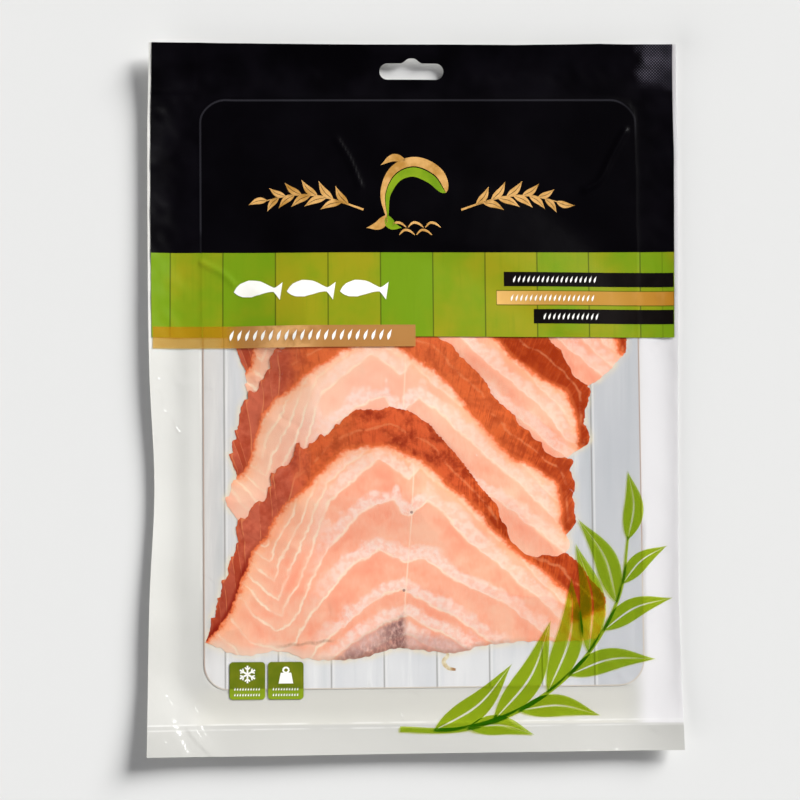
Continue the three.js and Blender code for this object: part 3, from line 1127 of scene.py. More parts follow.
def paint_card():
    paint = Paint("whitewashed_planks")
    x, y = paint.axes()
    leaning = x + (y + 80) * math.tan(CARD_TURN)
    across, seam, plank = planks_along(paint, leaning, FIRST_SEAM, PLANK)
    grain = paint.noise(0.9, 4, (1.6, 0.035, 1))
    streak = paint.noise(6, 4, (1.6, 0.12, 1))
    smear = paint.noise(24, 3, (1, 0.4, 1))
    away, cut = paint.attribute("away"), paint.attribute("cut")
    juice = away.step(2.6, 0.2) * (paint.noise(5, 3) * 1.8 - 0.45)
    soft = y.step(-108, -113).most(x.step(70, 80) * y.step(-50, -80))
    face = paint.layers(
        CARD_WHITE,
        (smear.step(0.3, 0.75), CARD_GREY),
        (plank.step(0.2, 1.0) * 0.35, PLANK_GREY),
        (streak.step(0.5, 0.72) * 0.5, STREAK_DARK),
        (streak.step(0.48, 0.3) * 0.6, STREAK_LIGHT),
        (grain.step(0.5, 0.75) * 0.3, GRAIN_GREY),
        (x.step(-66, -84) * 0.45, LEFT_TINT),
        (y.step(-96, -108) * 0.4, LOW_TINT),
        (leaning.step(60, 74) * 0.7, RIGHT_TINT),
        (across.step(1.6, 0.9) * across.step(0.4, 0.8) * 0.5, SEAM_LIGHT),
        (seam.step(0.5, 0.1) * 0.65, SEAM_DARK),
        (juice.most(0.08) * away.step(2.8, 2.2), JUICE),
        (cut.step(CARD_CUT, 0.3) * 0.8, paint.mix(soft, BOARD, BOARD_PALE)),
    )
    return paint.done(paint.surface(face, 0.7, 0.3))


finish_piece(card, paint_card())

# %% [markdown]
# ## The films
#
# Both films are grids over the whole pouch. The back film is flat under the card. Beside the card the two
# films hang together at half the height of its edge, and further out they follow the rim. Grid lines are
# set closer together where the film bends over the edge of the card, and one runs along each border of
# the print, where the film is parted later.

# %% Grid lines of the front film
PRINT_LEFT = -103.8
PRINT_RIGHT = 103.5
BAND_BOTTOM = 22.8
BAND_TOP = 56.7
FINE_STEP = 0.34
FINE_REACH = 2.8
FILM_STEP = 1.05
CLOSE = 0.3


def film_lines(half, fixed, bends):
    """Places of grid lines from -half to half, finer around the bends and with one on each fixed place."""
    wanted = list(np.arange(-half, half, FILM_STEP))
    for bend in bends:
        wanted = [v for v in wanted if abs(v - bend) > FINE_REACH + FINE_STEP]
        wanted += list(np.arange(bend - FINE_REACH, bend + FINE_REACH + 1e-6, FINE_STEP))
    for place in fixed:
        wanted = [v for v in wanted if abs(v - place) > CLOSE]
        wanted.append(place)
    return np.array(sorted(v for v in wanted if abs(v) <= half))


card_sides = [CARD_MIDDLE[0] + side * CARD_WIDTH / 2 for side in (-1, 1)]
card_ends = [CARD_MIDDLE[1] + side * CARD_LENGTH / 2 for side in (-1, 1)]
half_width, half_length = POUCH_WIDTH / 2, POUCH_LENGTH / 2
film_x = film_lines(half_width, [-half_width, PRINT_LEFT, PRINT_RIGHT, half_width], card_sides)
film_y = film_lines(half_length, [-half_length, BAND_BOTTOM, BAND_TOP, half_length], card_ends)
flat_x, flat_y = np.meshgrid(film_x, film_y)
lay_x, lay_y = drawn_in(flat_x, flat_y)

# %% [markdown]
# The front film takes, at every place, the highest thing that lies under it, and is then relaxed a few
# times so that it bridges sharp steps in a small curve, as a stretched film does.

# %% Lay the front film
RELAXATIONS = 16
BACK_STEP = 2.1
BACK_THICKNESS = 0.24
MARGIN_LEVEL = 1.26
FILM_GAP = 0.2


def back_height(x, y):
    """Upper face of the back film."""
    hung = np.where(beyond_card(x, y) > -BACK_STEP, MARGIN_LEVEL, 0)
    return (hung**4 + rim_lift(x, y) ** 4) ** 0.25 + BACK_THICKNESS


def highest_under(x, y):
    """Height of the highest thing under the front film, which leaves the card with a small step."""
    height = np.where(beyond_card(x, y) < 0, CARD_TOP, back_height(x, y) + FILM_GAP)
    for which in range(len(SLICES)):
        loop = slice_loop(which, 2)
        within = inside(x, y, loop)
        edge = distance_to(x[within], y[within], loop)
        top = slice_top(which, x[within], y[within]) - SLICE_THICKNESS * thinning(edge)
        height[within] = np.maximum(height[within], top)
    return height


def relaxed(height, times):
    """A stretched film over a height: it may rise above it, but never sinks below."""
    film = height.copy()
    for _ in range(times):
        padded = np.pad(film, 1, mode="edge")
        around = (padded[:-2, 1:-1] + padded[2:, 1:-1] + padded[1:-1, :-2] + padded[1:-1, 2:]) / 4
        film = np.maximum(height, around)
    return film


film_z = relaxed(highest_under(lay_x, lay_y), RELAXATIONS)
print(f"front film: {film_x.size} by {film_y.size} grid lines, {film_z.max():.1f} mm at its highest")

# %% [markdown]
# A crease is a low sharp ridge in the film. The ridges run from the corners of the card and of the pile,
# where the film had more length than it needed, and along the weld at the lower end.

# %% Creases and weld
CREASES = [
    {"line": [(-31, 102), (-26, 94), (-21.5, 83)], "height": 0.5, "width": 0.8},
    {"line": [(84.5, 106), (79, 96), (74, 86), (68, 82)], "height": 0.7, "width": 0.9},
    {"line": [(-84.6, 52.5), (-76, 48), (-71.5, 43.5)], "height": 0.45, "width": 0.9},
    {"line": [(91, 136), (93, 132), (97, 134)], "height": 0.7, "width": 0.9},
    {"line": [(-87, -129), (-83.5, -134.5), (-75.5, -142)], "height": 1.1, "width": 1.6},
    {"line": [(-96, -128), (-93, -134), (-90, -140)], "height": 0.5, "width": 1.1},
    {"line": [(-92, 5.5), (-88, 5), (-85, 5.5)], "height": 0.5, "width": 0.9},
    {"line": [(75.5, -103.5), (80, -108.5), (84.5, -113.5)], "height": 0.4, "width": 0.9},
]
WELD_LINES = [(-128.9, 0.42, 0.5), (-131.4, 0.3, 0.45)]
CREASE_BOX = 25


def add_creases(x, y, z):
    for crease in CREASES:
        line = smooth_line(crease["line"], 24)
        middle_x, middle_y = line.mean(axis=0)
        box = (np.abs(x - middle_x) < CREASE_BOX) & (np.abs(y - middle_y) < CREASE_BOX)
        away = distance_to(x[box], y[box], line)
        z[box] += crease["height"] * np.exp(-((away / crease["width"]) ** 2))
    for place, height, width in WELD_LINES:
        wander = 0.25 * np.sin(x / 9) + 0.15 * np.sin(x / 3.1)
        z += height * np.exp(-(((y - place + wander - x * 0.006) / width) ** 2))
    rim = ramp(beyond_card(x, y), 2, 9)
    z += rim * (0.14 * ripple(x, y, 19, 71) + 0.05 * ripple(x, y, 6, 72))
    return np.maximum(z, back_height(x, y) + FILM_GAP)


film_z = add_creases(lay_x, lay_y, film_z)
print(f"creases: {len(CREASES)}, and {len(WELD_LINES)} ridges along the weld")

# %% [markdown]
# The print has to lie on the finished film, wherever the vacuum has drawn it. So one function reads the
# film's height off its grid at any place, and another cuts the stretch between two columns and two rows
# out of it.

# %% Read and part the film
def film_height(x, y):
    """Height of the front film at any place of the pouch, read off its grid."""
    target_x, target_y = x, y
    for _ in range(3):
        moved_x, moved_y = drawn_in(x, y)
        x, y = x + target_x - moved_x, y + target_y - moved_y
    column = np.clip(np.searchsorted(film_x, x) - 1, 0, film_x.size - 2)
    row = np.clip(np.searchsorted(film_y, y) - 1, 0, film_y.size - 2)
    across = np.clip((x - film_x[column]) / (film_x[column + 1] - film_x[column]), 0, 1)
    along = np.clip((y - film_y[row]) / (film_y[row + 1] - film_y[row]), 0, 1)
    low = film_z[row, column] * (1 - across) + film_z[row, column + 1] * across
    high = film_z[row + 1, column] * (1 - across) + film_z[row + 1, column + 1] * across
    return low * (1 - along) + high * along


def film_part(name, x_from, x_to, y_from, y_to):
    """The stretch of the front film between two columns and two rows."""
    columns = (film_x >= x_from - 1e-6) & (film_x <= x_to + 1e-6)
    rows = (film_y >= y_from - 1e-6) & (film_y <= y_to + 1e-6)
    box = np.ix_(rows, columns)
    return grid_piece(name, np.dstack([lay_x[box], lay_y[box], film_z[box]]))


print(f"film over the middle of the card: {film_height(np.zeros(1), np.zeros(1))[0]:.1f} mm high")

# %% [markdown]
# The hang slot goes through the header and the back film. Its outline is drawn as a flat face, extruded
# into a plug, and the plug is taken away from both with a Boolean modifier, as a punch would do it.

# %% Punch for the hang slot
SLOT_MIDDLE = (-1, 129.3)
SLOT_WIDTH = 25.6
SLOT_HEIGHT = 6.4
CROWN_WIDTH = 1.6
CROWN_RISE = 1.9
CROWN_SHOULDER = 3.6
PUNCH_TOP = 12.0
PUNCH_DEPTH = 16


def slot_outline():
    """The slot's outline: round ends, and a low crown with soft shoulders in the upper edge."""
    radius = SLOT_HEIGHT / 2
    straight = SLOT_WIDTH / 2 - radius
    ends = np.linspace(-math.pi / 2, math.pi / 2, 14)
    right = [(straight + radius * math.cos(a), radius * math.sin(a)) for a in ends]
    crown_half = CROWN_WIDTH / 2 + CROWN_SHOULDER
    crown_x = np.linspace(crown_half, -crown_half, 25)
    slope = (crown_half - np.abs(crown_x)) / CROWN_SHOULDER
    crown = [(cx, radius + CROWN_RISE * ramp(s, 0, 1)) for cx, s in zip(crown_x, slope)]
    left = [(-cx, -cy) for cx, cy in right]
    return np.array(right + crown + left) + SLOT_MIDDLE


def make_punch():
    outline = slot_outline()
    deselect()
    bpy.ops.mesh.primitive_circle_add(vertices=len(outline), radius=1, fill_type="NGON")
    punch = bpy.context.object
    punch.name = "punch"
    move_to(punch, np.column_stack([outline, np.full(len(outline), PUNCH_TOP)]))
    thicken_down(punch, PUNCH_DEPTH)
    return punch


def punch_out(piece, punch):
    choose([piece])
    cut = piece.modifiers.new("slot", "BOOLEAN")
    cut.operation = "DIFFERENCE"
    cut.solver = "EXACT"
    cut.object = punch
    bpy.ops.object.modifier_apply(modifier=cut.name)


punch = make_punch()
print(f"punch: {len(punch.data.vertices)} vertices")

# %% [markdown]
# ### Back film
#
# The back film is white and only a little glossy. It is a grid of its own, coarser than the front film
# because it has no creases. Its colour is painted lighter along the right and the left edge, as light
# to lift the shade where it curls up, and darker past the weld, with a painted gleam along each of the
# weld's ridges.

# %% Back film
WELD_END = -129.1
WELD_GLEAMS = [(-128.3, 0.4), (-130.3, 0.3)]
GLEAM_SLOPE = 0.007


def make_back():
    columns = np.linspace(-half_width, half_width, int(POUCH_WIDTH / BACK_STEP) + 1)
    rows = np.linspace(-half_length, half_length, int(POUCH_LENGTH / BACK_STEP) + 1)
    x, y = drawn_in(*np.meshgrid(columns, rows))
    back = grid_piece("back_film", np.dstack([x, y, back_height(x, y)]))
    thicken_down(back, BACK_THICKNESS)
    punch_out(back, punch)
    return back


def paint_back():
    paint = Paint("white_back_film")
    x, y = paint.axes()
    cloud = paint.noise(40, 2)
    # Painted light at the left and right edges, against the shade of the curled rim.
    left = x.step(-80, -84) * (0.25 + 0.4 * x.step(-92, -86)) * y.step(-100, -50)
    white = paint.layers(
        colour(211, 210, 205),
        (cloud.step(0.3, 0.7), colour(204, 203, 198)),
        (x.step(84, 92), colour(236, 234, 235)),
        (left, colour(232, 231, 226)),
        (y.step(-112, -118) * abs(x).step(92, 78), colour(214, 212, 204)),
        (y.step(WELD_END + 0.5, WELD_END - 0.5), colour(198, 197, 192)),
    )
    for place, strength in WELD_GLEAMS:
        gleam = abs(y - place - x * GLEAM_SLOPE).step(0.5, 0.1) * strength
        white = paint.mix(gleam * paint.noise(11, 2).step(0.3, 0.6), white, colour(250, 249, 247))
    return paint.done(paint.surface(white, 0.4 + cloud * 0.1, 0.4))


back_film = make_back()
finish_piece(back_film, paint_back())

# %% [markdown]
# ### Clear film
#
# The clear film covers all that isn't printed over: the lower part, and a strip at each side of the
# print. The three stretches are joined and their shared border is merged. Glass would be the obvious
# material, but a film is too thin to bend light, so it lets everything through but the share that its
# surface mirrors, which grows as it is seen more from the side. Small dents in it catch the light.

# %% Clear film
FILM_THICKNESS = 0.1
MERGE_DISTANCE = 0.01
CLEAR = (0.997, 0.997, 0.995, 1)
DENTS = [(-57.4, 16.8, 4.6, 1.6), (-64.0, 5.6, 2.4, 2.2), (-52.8, 7.0, 1.4, 2.6)]


def paint_clear():
    paint = Paint("clear_film")
    x, y = paint.axes()
    wrinkle = paint.noise(7, 3)
    fold = abs(paint.noise(26, 2) - 0.5).step(0.02, 0.0) * paint.noise(11, 2).step(0.52, 0.66)
    uneven = paint.noise(1.8, 2)
    dents = fold * 0.6
    for dent_x, dent_y, half_x, half_y in DENTS:
        across, along = (x - dent_x) / half_x, (y - dent_y) / half_y
        dents = dents + (1 - across * across - along * along).most(0) * uneven * 9
    normal = paint.bump(wrinkle * 0.5 + dents, 0.5, 0.6)
    slant = paint.node("ShaderNodeLayerWeight", inputs={"Blend": 0.5, "Normal": normal}, output="Facing")
    mirrored = 0.012 + 0.4 * slant.power(4.0)
    shine_inputs = {"Color": (1, 1, 1, 1), "Roughness": 0.16, "Normal": normal}
    shine = paint.node("ShaderNodeBsdfAnisotropic", inputs=shine_inputs)
    return paint.done(paint.see_through(CLEAR, mirrored, shine))


def join(pieces, name):
    choose(pieces)
    bpy.ops.object.join()
    joined = bpy.context.object
    joined.name = joined.data.name = name
    return joined


def make_window():
    parts = [
        film_part("window", -half_width, half_width, -half_length, BAND_BOTTOM),
        film_part("left_strip", -half_width, PRINT_LEFT, BAND_BOTTOM, half_length),
        film_part("right_strip", PRINT_RIGHT, half_width, BAND_BOTTOM, half_length),
    ]
    film = join(parts, "front_film")
    bpy.ops.object.mode_set(mode="EDIT")
    bpy.ops.mesh.select_all(action="SELECT")
    bpy.ops.mesh.remove_doubles(threshold=MERGE_DISTANCE * MM)
    bpy.ops.object.mode_set(mode="OBJECT")
    thicken_down(film, FILM_THICKNESS)
    return film


front_film = make_window()
finish_piece(front_film, paint_clear())

# %% [markdown]
# ### Header
#
# The upper end of the film is printed black. Past the edge of the card it lies a little lower, and there
# it is painted lighter for the light that it catches; over the edge itself runs a painted thin grey gleam.
# The jaw that welded the pouch has left the lozenges of its grip in one corner: two sines across each
# other make them, painted in light grey as the glints that they catch. The slot is punched first, and the
# vertices are told their distance from the card afterwards, because a Boolean makes new ones.

# %% Header
KNURL_CORNER = (84, 119)
KNURL_FADE = (14, 8)
KNURL_PITCH = 1.15


def paint_header():
    paint = Paint("black_print")
    x, y = paint.axes()
    cloud = paint.noise(30, 3)
    past_card = paint.attribute("past_card")
    inner = past_card.step(-1, 2).most(0.35)
    ridge = abs(past_card - x.step(-70, -84) * 0.5 + y.step(110, 117) * 0.7).step(0.62, 0.05)
    ridge = ridge * (1 - x.step(80, 86) * (0.5 + 0.5 * y.step(112, 100)))
    ridge = ridge * (0.35 + 0.65 * y.step(62, 66))
    turns = math.pi / KNURL_PITCH
    lozenges = abs(((x + y) * turns).sine() * ((x - y) * turns).sine())
    patches = paint.noise(8, 3)
    corner_x = (x + patches * 10 - 5).step(KNURL_CORNER[0], KNURL_CORNER[0] + KNURL_FADE[0])
    corner_y = (y + patches * 6 - 3).step(KNURL_CORNER[1], KNURL_CORNER[1] + KNURL_FADE[1])
    # Painted glints: the lozenges are painted light grey where they catch the light.
    knurl_glint = lozenges * (corner_x * corner_y) * (0.2 + 1.1 * patches)
    # Painted light: the film past the card is lighter, and a painted grey gleam runs over the card's edge.
    shade = paint.layers(
        colour(2, 1, 3),
        (cloud.step(0.35, 0.7) * inner, colour(10, 8, 13)),
        (ridge * (0.55 + 0.5 * cloud), colour(45, 44, 49)),
        (knurl_glint.step(0.12, 0.9), colour(112, 108, 122)),
    )
    normal = paint.bump(cloud * 0.3 + paint.noise(9, 3) * 0.5, 0.3, 0.4)
    return paint.done(paint.surface(shade, 0.24 + cloud * 0.1, 0.11, normal))


header = film_part("header", PRINT_LEFT, PRINT_RIGHT, BAND_TOP, half_length)
thicken_down(header, FILM_THICKNESS)
punch_out(header, punch)
note(header, "past_card", beyond_card(*places_of(header)[:, :2].T))
finish_piece(header, paint_header())

# %% [markdown]
# ### Plank band
#
# Below the header runs a band of green planks, each a little more yellow or more blue than the next, with
# a painted shadow as a thin dark border round the tan bar. It is the last stretch of the front film, and
# the punch is put away after it.

# %% Plank band
GREEN_PLANK = 20.72
GREEN_SEAM = -96.6
RIGHT_FOLD = 98.7
SHADED_BAR = (32.0, 38.4, 2.95)


def paint_band():
    paint = Paint("green_planks")
    x, y = paint.axes()
    _, seam, plank = planks_along(paint, x, GREEN_SEAM, GREEN_PLANK)
    cloud = paint.noise(22, 3)
    grain = paint.noise(2, 4, (1.2, 0.06, 1))
    # A painted shadow: a thin darker border round the middle bar.
    bar_x, bar_y, bar_half = SHADED_BAR
    bar_shadow = abs(y - bar_y).step(bar_half + 0.3, bar_half) * x.step(bar_x, bar_x + 0.2)
    green = paint.layers(
        colour(112, 146, 16),
        ((cloud * 1.1 + plank * 0.5 - 0.25).step(0.3, 0.95), colour(152, 146, 22)),
        (grain.step(0.5, 0.85) * 0.3, colour(102, 132, 12)),
        (seam.step(0.4, 0.12) * 0.8, colour(70, 82, 10)),
        (abs(x - RIGHT_FOLD).step(0.35, 0.1) * 0.5, colour(84, 104, 10)),
        (bar_shadow * 0.75, colour(92, 88, 12)),
    )
    return paint.done(paint.surface(green, 0.34, 0.25, paint.bump(paint.noise(8, 3), 0.2, 0.4)))


band = film_part("plank_band", PRINT_LEFT, PRINT_RIGHT, BAND_BOTTOM, BAND_TOP)
thicken_down(band, FILM_THICKNESS)
finish_piece(band, paint_band())

bpy.data.objects.remove(punch)

# %% [markdown]
# ## Printed shapes
#
# Ink is a skin on the film, so each printed shape is a thin grid draped over it and thickened a little.
# Two helpers make them all: a panel is a rectangle with rounded corners, and a stroke follows a curved
# spine with a width that swells and shrinks along it, as a pen or a leaf does.

# %% Tools for print
PRINT_LIFT = 0.06
PRINT_THICKNESS = 0.05
PRINT_STEP = 0.7
LEAST_HALF = 0.04


def drape(name, x, y, lift=0.0, ground=film_height):
    """Lays a flat grid on the film, or on whatever else the height function describes."""
    piece = grid_piece(name, np.dstack([x, y, ground(x, y) + PRINT_LIFT + lift]))
    thicken_down(piece, PRINT_THICKNESS)
    return piece


def panel(name, x_range, y_range, corner=0.0, slope=0.0):
    """A rectangle of print with rounded corners, which may climb a little to the right."""
    x, y = rounded_grid(x_range, y_range, corner, PRINT_STEP)
    return drape(name, x, y + slope * x)


def stroke(name, points, half_width, sides=(-1, 1), lift=0.0, ground=film_height):
    """A band along a smooth spine; half_width gives its half width at each share of the length."""
    length = run_along(smooth_line(points, 200))[-1]
    spine = smooth_line(points, max(8, int(length / PRINT_STEP) + 1))
    half = np.maximum(half_width(np.linspace(0, 1, len(spine))), LEAST_HALF)
    steps = max(2, int(half.max() * (sides[1] - sides[0]) / PRINT_STEP) + 2)
    across = np.linspace(sides[0], sides[1], steps)
    reach = half[:, None, None] * across[None, :, None]
    places = spine[:, None, :] + normals_of(spine)[:, None, :] * reach
    return drape(name, places[..., 0], places[..., 1], lift, ground)


def even_width(half):
    """The same half width all along."""
    return lambda share: np.full(share.shape, half)


def leaf_width(most):
    """Half width of a leaf: pointed at both ends, fullest before the middle."""
    return lambda share: most * np.sin(math.pi * share**0.75) ** 1.15


def pen_width(most, least=0.25):
    """Half width of a pen stroke that swells in the middle."""
    return lambda share: most * (least + (1 - least) * np.sin(math.pi * share))


# %% [markdown]
# Opaque inks are plain glossy colours. The green and tan inks on the clear film are glazes: they let the
# fish and the card show through, darker and tinted. Such an ink is part filter and part colour, a mix of
# a coloured transparent shader and a painted one.

# %% Inks
INK_GLOSS = 0.35


def paint_ink(name, dark, light, size=9, specular=0.3):
    """An opaque ink, uneven between two shades."""
    paint = Paint(name)
    return paint.done(paint.surface(paint.uneven(size, dark, light), INK_GLOSS, specular))


def paint_glaze(name, body, tint, cover):
    """A see-through ink: it covers a share of the ground with its body and tints the light of the rest."""
    paint = Paint(name)
    deeper = tuple(0.8 * v for v in body[:3]) + (1,)
    painted = paint.surface(paint.uneven(12, body, deeper), INK_GLOSS, 0.3)
    return paint.done(paint.see_through(tint, cover, painted))


GREEN_GLAZE = paint_glaze("green_glaze", (0.1, 0.55, 0.0, 1), (0.83, 0.864, 0.38, 1), 0.08)
BLACK_INK = paint_ink("black_ink", colour(9, 6, 5), colour(17, 12, 11), specular=0.12)
WHITE_INK = paint_ink("white_ink", colour(244, 242, 234), colour(252, 250, 244))
GOLD_INK = paint_ink("gold_ink", colour(176, 126, 52), colour(222, 172, 104), size=6)
LEAF_INK = paint_ink("leaf_green_ink", colour(104, 140, 12), colour(132, 160, 24))
print("inks:", ", ".join(ink.name for ink in (GREEN_GLAZE, BLACK_INK, WHITE_INK, GOLD_INK, LEAF_INK)))

# %% [markdown]
# Below the fish a strand of fat lies loose on the card, brown at one end. It is drawn with the same
# stroke, but laid on the card instead of on the film.

# %% Strand of fat
STRAND = [(11.6, -100.7), (12.3, -102.5), (10.6, -104.8), (12.4, -107.3), (15.4, -108.0)]


def card_face(x, y):
    return np.full(x.shape, CARD_FACE)


def paint_strand():
    paint = Paint("strand_of_fat")
    x, _ = paint.axes()
    fat = paint.mix(paint.noise(1.6, 3).step(0.35, 0.65), colour(232, 222, 192), colour(206, 184, 140))
    return paint.done(paint.surface(paint.mix(x.step(12.8, 14.6), fat, colour(168, 124, 78))))


strand = stroke("strand", STRAND, pen_width(0.85, 0.55), lift=-0.04, ground=card_face)
finish_piece(strand, paint_strand())

# %% [markdown]
# Two dark bars and a tan one lie on the green band, and a tan band on the clear film below it. The tan
# one is a thin glaze at its left end and nearly opaque from the fish on, with the film's glare painted on
# it as a lighter patch left of its middle. Two green squares near the lower left corner are lighter where
# no card lies behind them.

# %% Bars, tan band and squares
BARS = [
    ("bar_upper", (35.2, 103.1), (43.0, 48.7), BLACK_INK),
    ("bar_middle", (32.3, 103.1), (35.7, 41.1), None),
    ("bar_lower", (47.0, 103.0), (28.2, 33.9), BLACK_INK),
]
TAN_BAND = ((-103.3, -0.1), (18.75, 27.4))
TAN_SLOPE = 0.005
SQUARES = [(-73.1, -59.2), (-58.1, -44.2)]
SQUARE_Y = (-119.2, -104.6)
SQUARE_CORNER = 1.4
TAN_CLEAR = (0.955, 0.955, 0.82, 1)


def paint_bar():
    """The middle bar runs from pale at its left end to brown at its right."""
    paint = Paint("tan_bar_ink")
    x, _ = paint.axes()
    shade = paint.layers(
        colour(226, 178, 100),
        (x.step(30, 60), colour(184, 134, 52)),
        (x.step(80, 104), colour(180, 122, 34)),
        (paint.noise(6, 3, (1, 0.3, 1)).step(0.45, 0.8) * 0.4, colour(200, 150, 84)),
    )
    return paint.done(paint.surface(shade, 0.4, 0.3))


def paint_tan():
    paint = Paint("tan_glaze")
    x, _ = paint.axes()
    # Painted highlight: a lighter patch where the film shows glare.
    shine = x.step(-66, -55) * x.step(-35, -46) * paint.noise(7, 3).step(0.35, 0.6)
    body = paint.layers(
        (0.7, 0.33, 0.01, 1),
        (x.step(-78, -66), colour(194, 138, 76)),
        (shine * 0.9, colour(246, 190, 124)),
    )
    painted = paint.surface(body, INK_GLOSS, 0.3)
    return paint.done(paint.see_through(TAN_CLEAR, 0.3 + 0.42 * x.step(-80, -64), painted))


def paint_square(name, dark, light):
    paint = Paint(name)
    _, y = paint.axes()
    past_card = y.step(-114.8, -115.4)
    shade = paint.mix(past_card * 0.8, paint.uneven(9, dark, light), colour(138, 162, 30))
    return paint.done(paint.surface(shade, 0.4, 0.25))


for name, x_range, y_range, ink in BARS:
    finish_piece(panel(name, x_range, y_range), ink or paint_bar())
finish_piece(panel("tan_band", *TAN_BAND, slope=TAN_SLOPE), paint_tan())
for number, x_range in enumerate(SQUARES, 1):
    square_ink = paint_square(f"square_green_{number}", colour(92, 108, 12), colour(112, 120, 20))
    square = panel(f"square_{number}", x_range, SQUARE_Y, corner=SQUARE_CORNER)
    finish_piece(square, square_ink)

# %% [markdown]
# White motifs stand where a printed pack has its words: three small fish take the place of the title, and
# rows of small slanted leaves the place of its lines. One square carries a snowflake and the other a shop
# weight. All of them are strokes, joined into one piece at the end, because they are one ink.

# %% White leaves and fish
MOTIF_LIFT = 0.07
TITLE_FISH_X = [-62.2, -41.3, -20.4]
TITLE_FISH_Y = 41.3
TITLE_FISH_LENGTH = 18.6
FISH_SHARE = [0, 0.06, 0.16, 0.34, 0.55, 0.74, 0.84, 0.9, 1]
FISH_HALF = [0.1, 1.5, 2.7, 3.4, 2.7, 1.3, 0.75, 1.6, 3.6]


def white_leaves(x_range, y, length, lean, pitch, half):
    """A row of slanted leaves."""
    leaves = []
    for x in np.arange(x_range[0], x_range[1], pitch):
        points = [(x, y - length / 2), (x + lean * 0.35, y), (x + lean, y + length / 2)]
        leaves.append(stroke("white_leaf", points, leaf_width(half), lift=MOTIF_LIFT))
    return leaves


def fish_width(share):
    """Half width of a small fish from its nose to its tail fin."""
    return np.interp(share, FISH_SHARE, FISH_HALF)


def title_fish(x):
    """A plain fish, nose to the left, with a slight bend."""
    half = TITLE_FISH_LENGTH / 2
    points = [(x - half, TITLE_FISH_Y - 0.6), (x, TITLE_FISH_Y + 0.9), (x + half, TITLE_FISH_Y - 0.4)]
    return stroke("white_fish", points, fish_width, lift=MOTIF_LIFT)


# %% [markdown]
# The snowflake is three long strokes through its middle, each with a pair of twigs near both ends. The
# weight is one short broad stroke that narrows upwards, and its ring a thin stroke that ends where it
# began.

# %% Snowflake and weight
ARM_HALF = 0.34
TWIG_HALF = 0.26
TWIG_SHARE = 0.42
RING_HALF = 0.36


def snowflake(x, y, reach):
    """Six arms with a pair of twigs each."""
    parts = []
    for turn in np.arange(0, math.pi, math.pi / 3):
        across, up = math.cos(turn + math.pi / 6), math.sin(turn + math.pi / 6)
        points = [(x - across * reach, y - up * reach), (x, y), (x + across * reach, y + up * reach)]
        parts.append(stroke("arm", points, even_width(ARM_HALF), lift=MOTIF_LIFT))
        for side in (-1, 1):
            root_x, root_y = x + side * across * reach * 0.5, y + side * up * reach * 0.5
            for bend in (-1, 1):
                angle = math.atan2(up * side, across * side) + bend * math.pi / 4
                tip_x = root_x + math.cos(angle) * reach * TWIG_SHARE
                tip_y = root_y + math.sin(angle) * reach * TWIG_SHARE
                middle = ((root_x + tip_x) / 2, (root_y + tip_y) / 2)
                points = [(root_x, root_y), middle, (tip_x, tip_y)]
                parts.append(stroke("twig", points, even_width(TWIG_HALF), lift=MOTIF_LIFT))
    return parts


def shop_weight(x, y, size):
    """A weight as on old kitchen scales: a block that narrows upwards, with a ring on top."""
    sides = [(x, y - size), (x, y - size * 0.3), (x, y + size * 0.35)]
    block = stroke("block", sides, lambda share: size * (0.92 - 0.26 * share), lift=MOTIF_LIFT)
    ring = []
    for turn in np.linspace(-math.pi / 2, 1.5 * math.pi, 13):
        ring_y = y + size * 0.68 + size * 0.34 * math.sin(turn)
        ring.append((x + size * 0.36 * math.cos(turn), ring_y))
    return [block, stroke("ring", ring, even_width(RING_HALF), lift=MOTIF_LIFT)]


# %% [markdown]
# Rows of leaves run along the tan band, the three bars and the feet of both squares, and stop short of
# their ends.

# %% Place the white motifs
BAR_LEAVES = [((39, 72), 45.85), ((38, 72), 38.4), ((51, 72), 31.05)]
SQUARE_LEAVES_Y = [-115.2, -117.4]

motifs = [title_fish(x) for x in TITLE_FISH_X]
motifs += white_leaves((-73, -8), 23.4, 4.2, 1.5, 3.1, 0.62)
for x_range, y in BAR_LEAVES:
    motifs += white_leaves(x_range, y, 2.6, 0.9, 1.9, 0.38)
motifs += snowflake(-66.1, -109.4, 3.4)
motifs += shop_weight(-51.1, -109.9, 3.1)
for left, right in SQUARES:
    for y in SQUARE_LEAVES_Y:
        motifs += white_leaves((left + 2.0, right - 1.6), y, 1.1, 0.3, 1.05, 0.24)
print(f"white motifs: {len(motifs)} strokes")
finish_piece(join(motifs, "white_motifs"), WHITE_INK)

# %% [markdown]
# ### Ornaments
#
# The header carries an ornament, a leaping fish between two gold branches, and the lower right corner a
# large branch in green. A branch is a stroke for the stem and two half strokes for each leaf, with a thin
# gap between them as its midrib.

# %% Branches
BRANCH_STEM = [(18.5, 73.6), (27, 76.6), (37, 79.2), (47, 79.4), (57, 77.2)]
BRANCH_LEAVES = [(0.16, 9.0), (0.32, 9.4), (0.48, 9.0), (0.64, 8.2), (0.8, 7.2)]
BRANCH_MIDDLE = -0.9
LEAF_TURN = 36
LEAF_LAG = 0.07
MIDRIB = 0.08
STEM_PLACES = 200


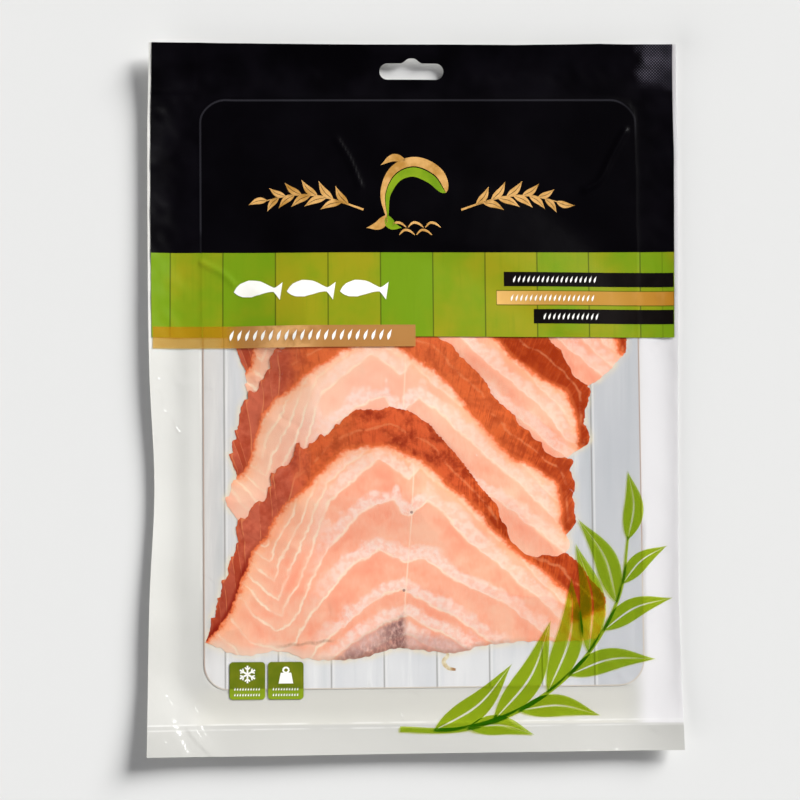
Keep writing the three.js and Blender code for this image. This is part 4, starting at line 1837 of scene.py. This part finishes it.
def branch(stem_points, leaves, stem_half, leaf_half):
    """A stem with leaves, each given by a share of the stem, a turn away from it and a length."""
    stem = smooth_line(stem_points, STEM_PLACES + 1)
    longest = max(length for _, _, length in leaves)
    parts = [stroke("stem", stem_points, lambda share: stem_half * (1 - 0.6 * share))]
    for share, turn, length in leaves:
        place = min(STEM_PLACES - 1, int(share * STEM_PLACES))
        root, after = stem[place], stem[place + 1]
        heading = math.atan2(after[1] - root[1], after[0] - root[0]) + math.radians(turn)
        ahead = np.array([math.cos(heading), math.sin(heading)])
        aside = np.array([-ahead[1], ahead[0]]) * np.sign(turn)
        points = [root, root + length * (0.5 * ahead - 0.09 * aside), root + length * ahead]
        outline = leaf_width(leaf_half * (length / longest) ** 0.6)
        for sides in ((MIDRIB, 1), (-1, -MIDRIB)):
            parts.append(stroke("leaf_half", points, outline, sides=sides))
    return parts


def gold_branch(side):
    """One of the two branches beside the fish, mirrored about the middle of the ornament."""
    stem = [(BRANCH_MIDDLE + side * (x - BRANCH_MIDDLE), y) for x, y in BRANCH_STEM]
    leaves = []
    for share, length in BRANCH_LEAVES:
        leaves.append((share, side * LEAF_TURN, length))
        leaves.append((share + LEAF_LAG, -side * LEAF_TURN, length))
    return branch(stem, leaves + [(0.99, 1, 7.5)], 0.42, 1.5)


# %% [markdown]
# The fish is drawn like a leaf: two half strokes along one bent spine, a gold one for its back and a
# green one for its belly. Tail and fin are small leaves of their own, and five crests of waves lie under
# it. What has the same ink is joined into one piece.

# %% Header ornament
FISH_SPINE = [(12.5, 80.5), (8, 87.5), (0, 91), (-7.5, 88), (-11.5, 80), (-11, 71)]
FISH_BODY = 4.3
WAVES = [(-9.5, 66.4), (-2.7, 66.4), (4.1, 66.4), (-6.2, 63.4), (0.6, 63.4)]
WAVE_LENGTH = 6.4
WAVE_CREST = [(0, 0), (0.3, 1.9), (0.65, 1.6), (0.96, 0)]


def fish_body(share):
    """Half width of the leaping fish: a full body that ends in a slender tail root."""
    fullness = np.sin(math.pi * np.clip(share, 0, 1) ** 0.62) ** 0.8
    return FISH_BODY * fullness * (1 - 0.25 * share) + 0.5 * share


gold = [stroke("back", FISH_SPINE, fish_body, sides=(-1, -0.06))]
green = [stroke("belly", FISH_SPINE, fish_body, sides=(0.06, 1))]
gold.append(stroke("tail_out", [(-11, 71.4), (-14, 67.4), (-19.2, 66.2)], leaf_width(1.9)))
green.append(stroke("tail_in", [(-11, 71.4), (-9.4, 67.4), (-5.2, 66.2)], leaf_width(1.9)))
gold.append(stroke("top_fin", [(-3.4, 93.6), (-8.4, 94.6), (-13.4, 91.6)], leaf_width(1.5)))
for x, y in WAVES:
    crest = [(x + WAVE_LENGTH * share, y + rise) for share, rise in WAVE_CREST]
    gold.append(stroke("wave", crest, pen_width(0.5)))
gold += gold_branch(1) + gold_branch(-1)
finish_piece(join(gold, "gold_ornament"), GOLD_INK)
finish_piece(join(green, "green_ornament"), LEAF_INK)

# %% [markdown]
# The lower right corner carries a large branch in green glaze. Its stem sweeps up from the lower edge,
# and its longest leaves reach over the fish.

# %% Green sprig
SPRIG_STEM = [(-6.5, -131), (18, -131), (44, -122), (66, -104), (80, -80), (84, -56)]
SPRIG_LEAVES = [
    (0.10, 42, 40), (0.28, 42, 45), (0.46, 42, 46), (0.63, 44, 43), (0.80, 46, 36),
    (0.20, -18, 26), (0.36, -30, 32), (0.54, -33, 35), (0.71, -35, 30), (0.86, -38, 23),
    (0.99, 8, 27),
]

sprig = branch(SPRIG_STEM, SPRIG_LEAVES, 1.1, 5.4)
finish_piece(join(sprig, "green_sprig"), GREEN_GLAZE)
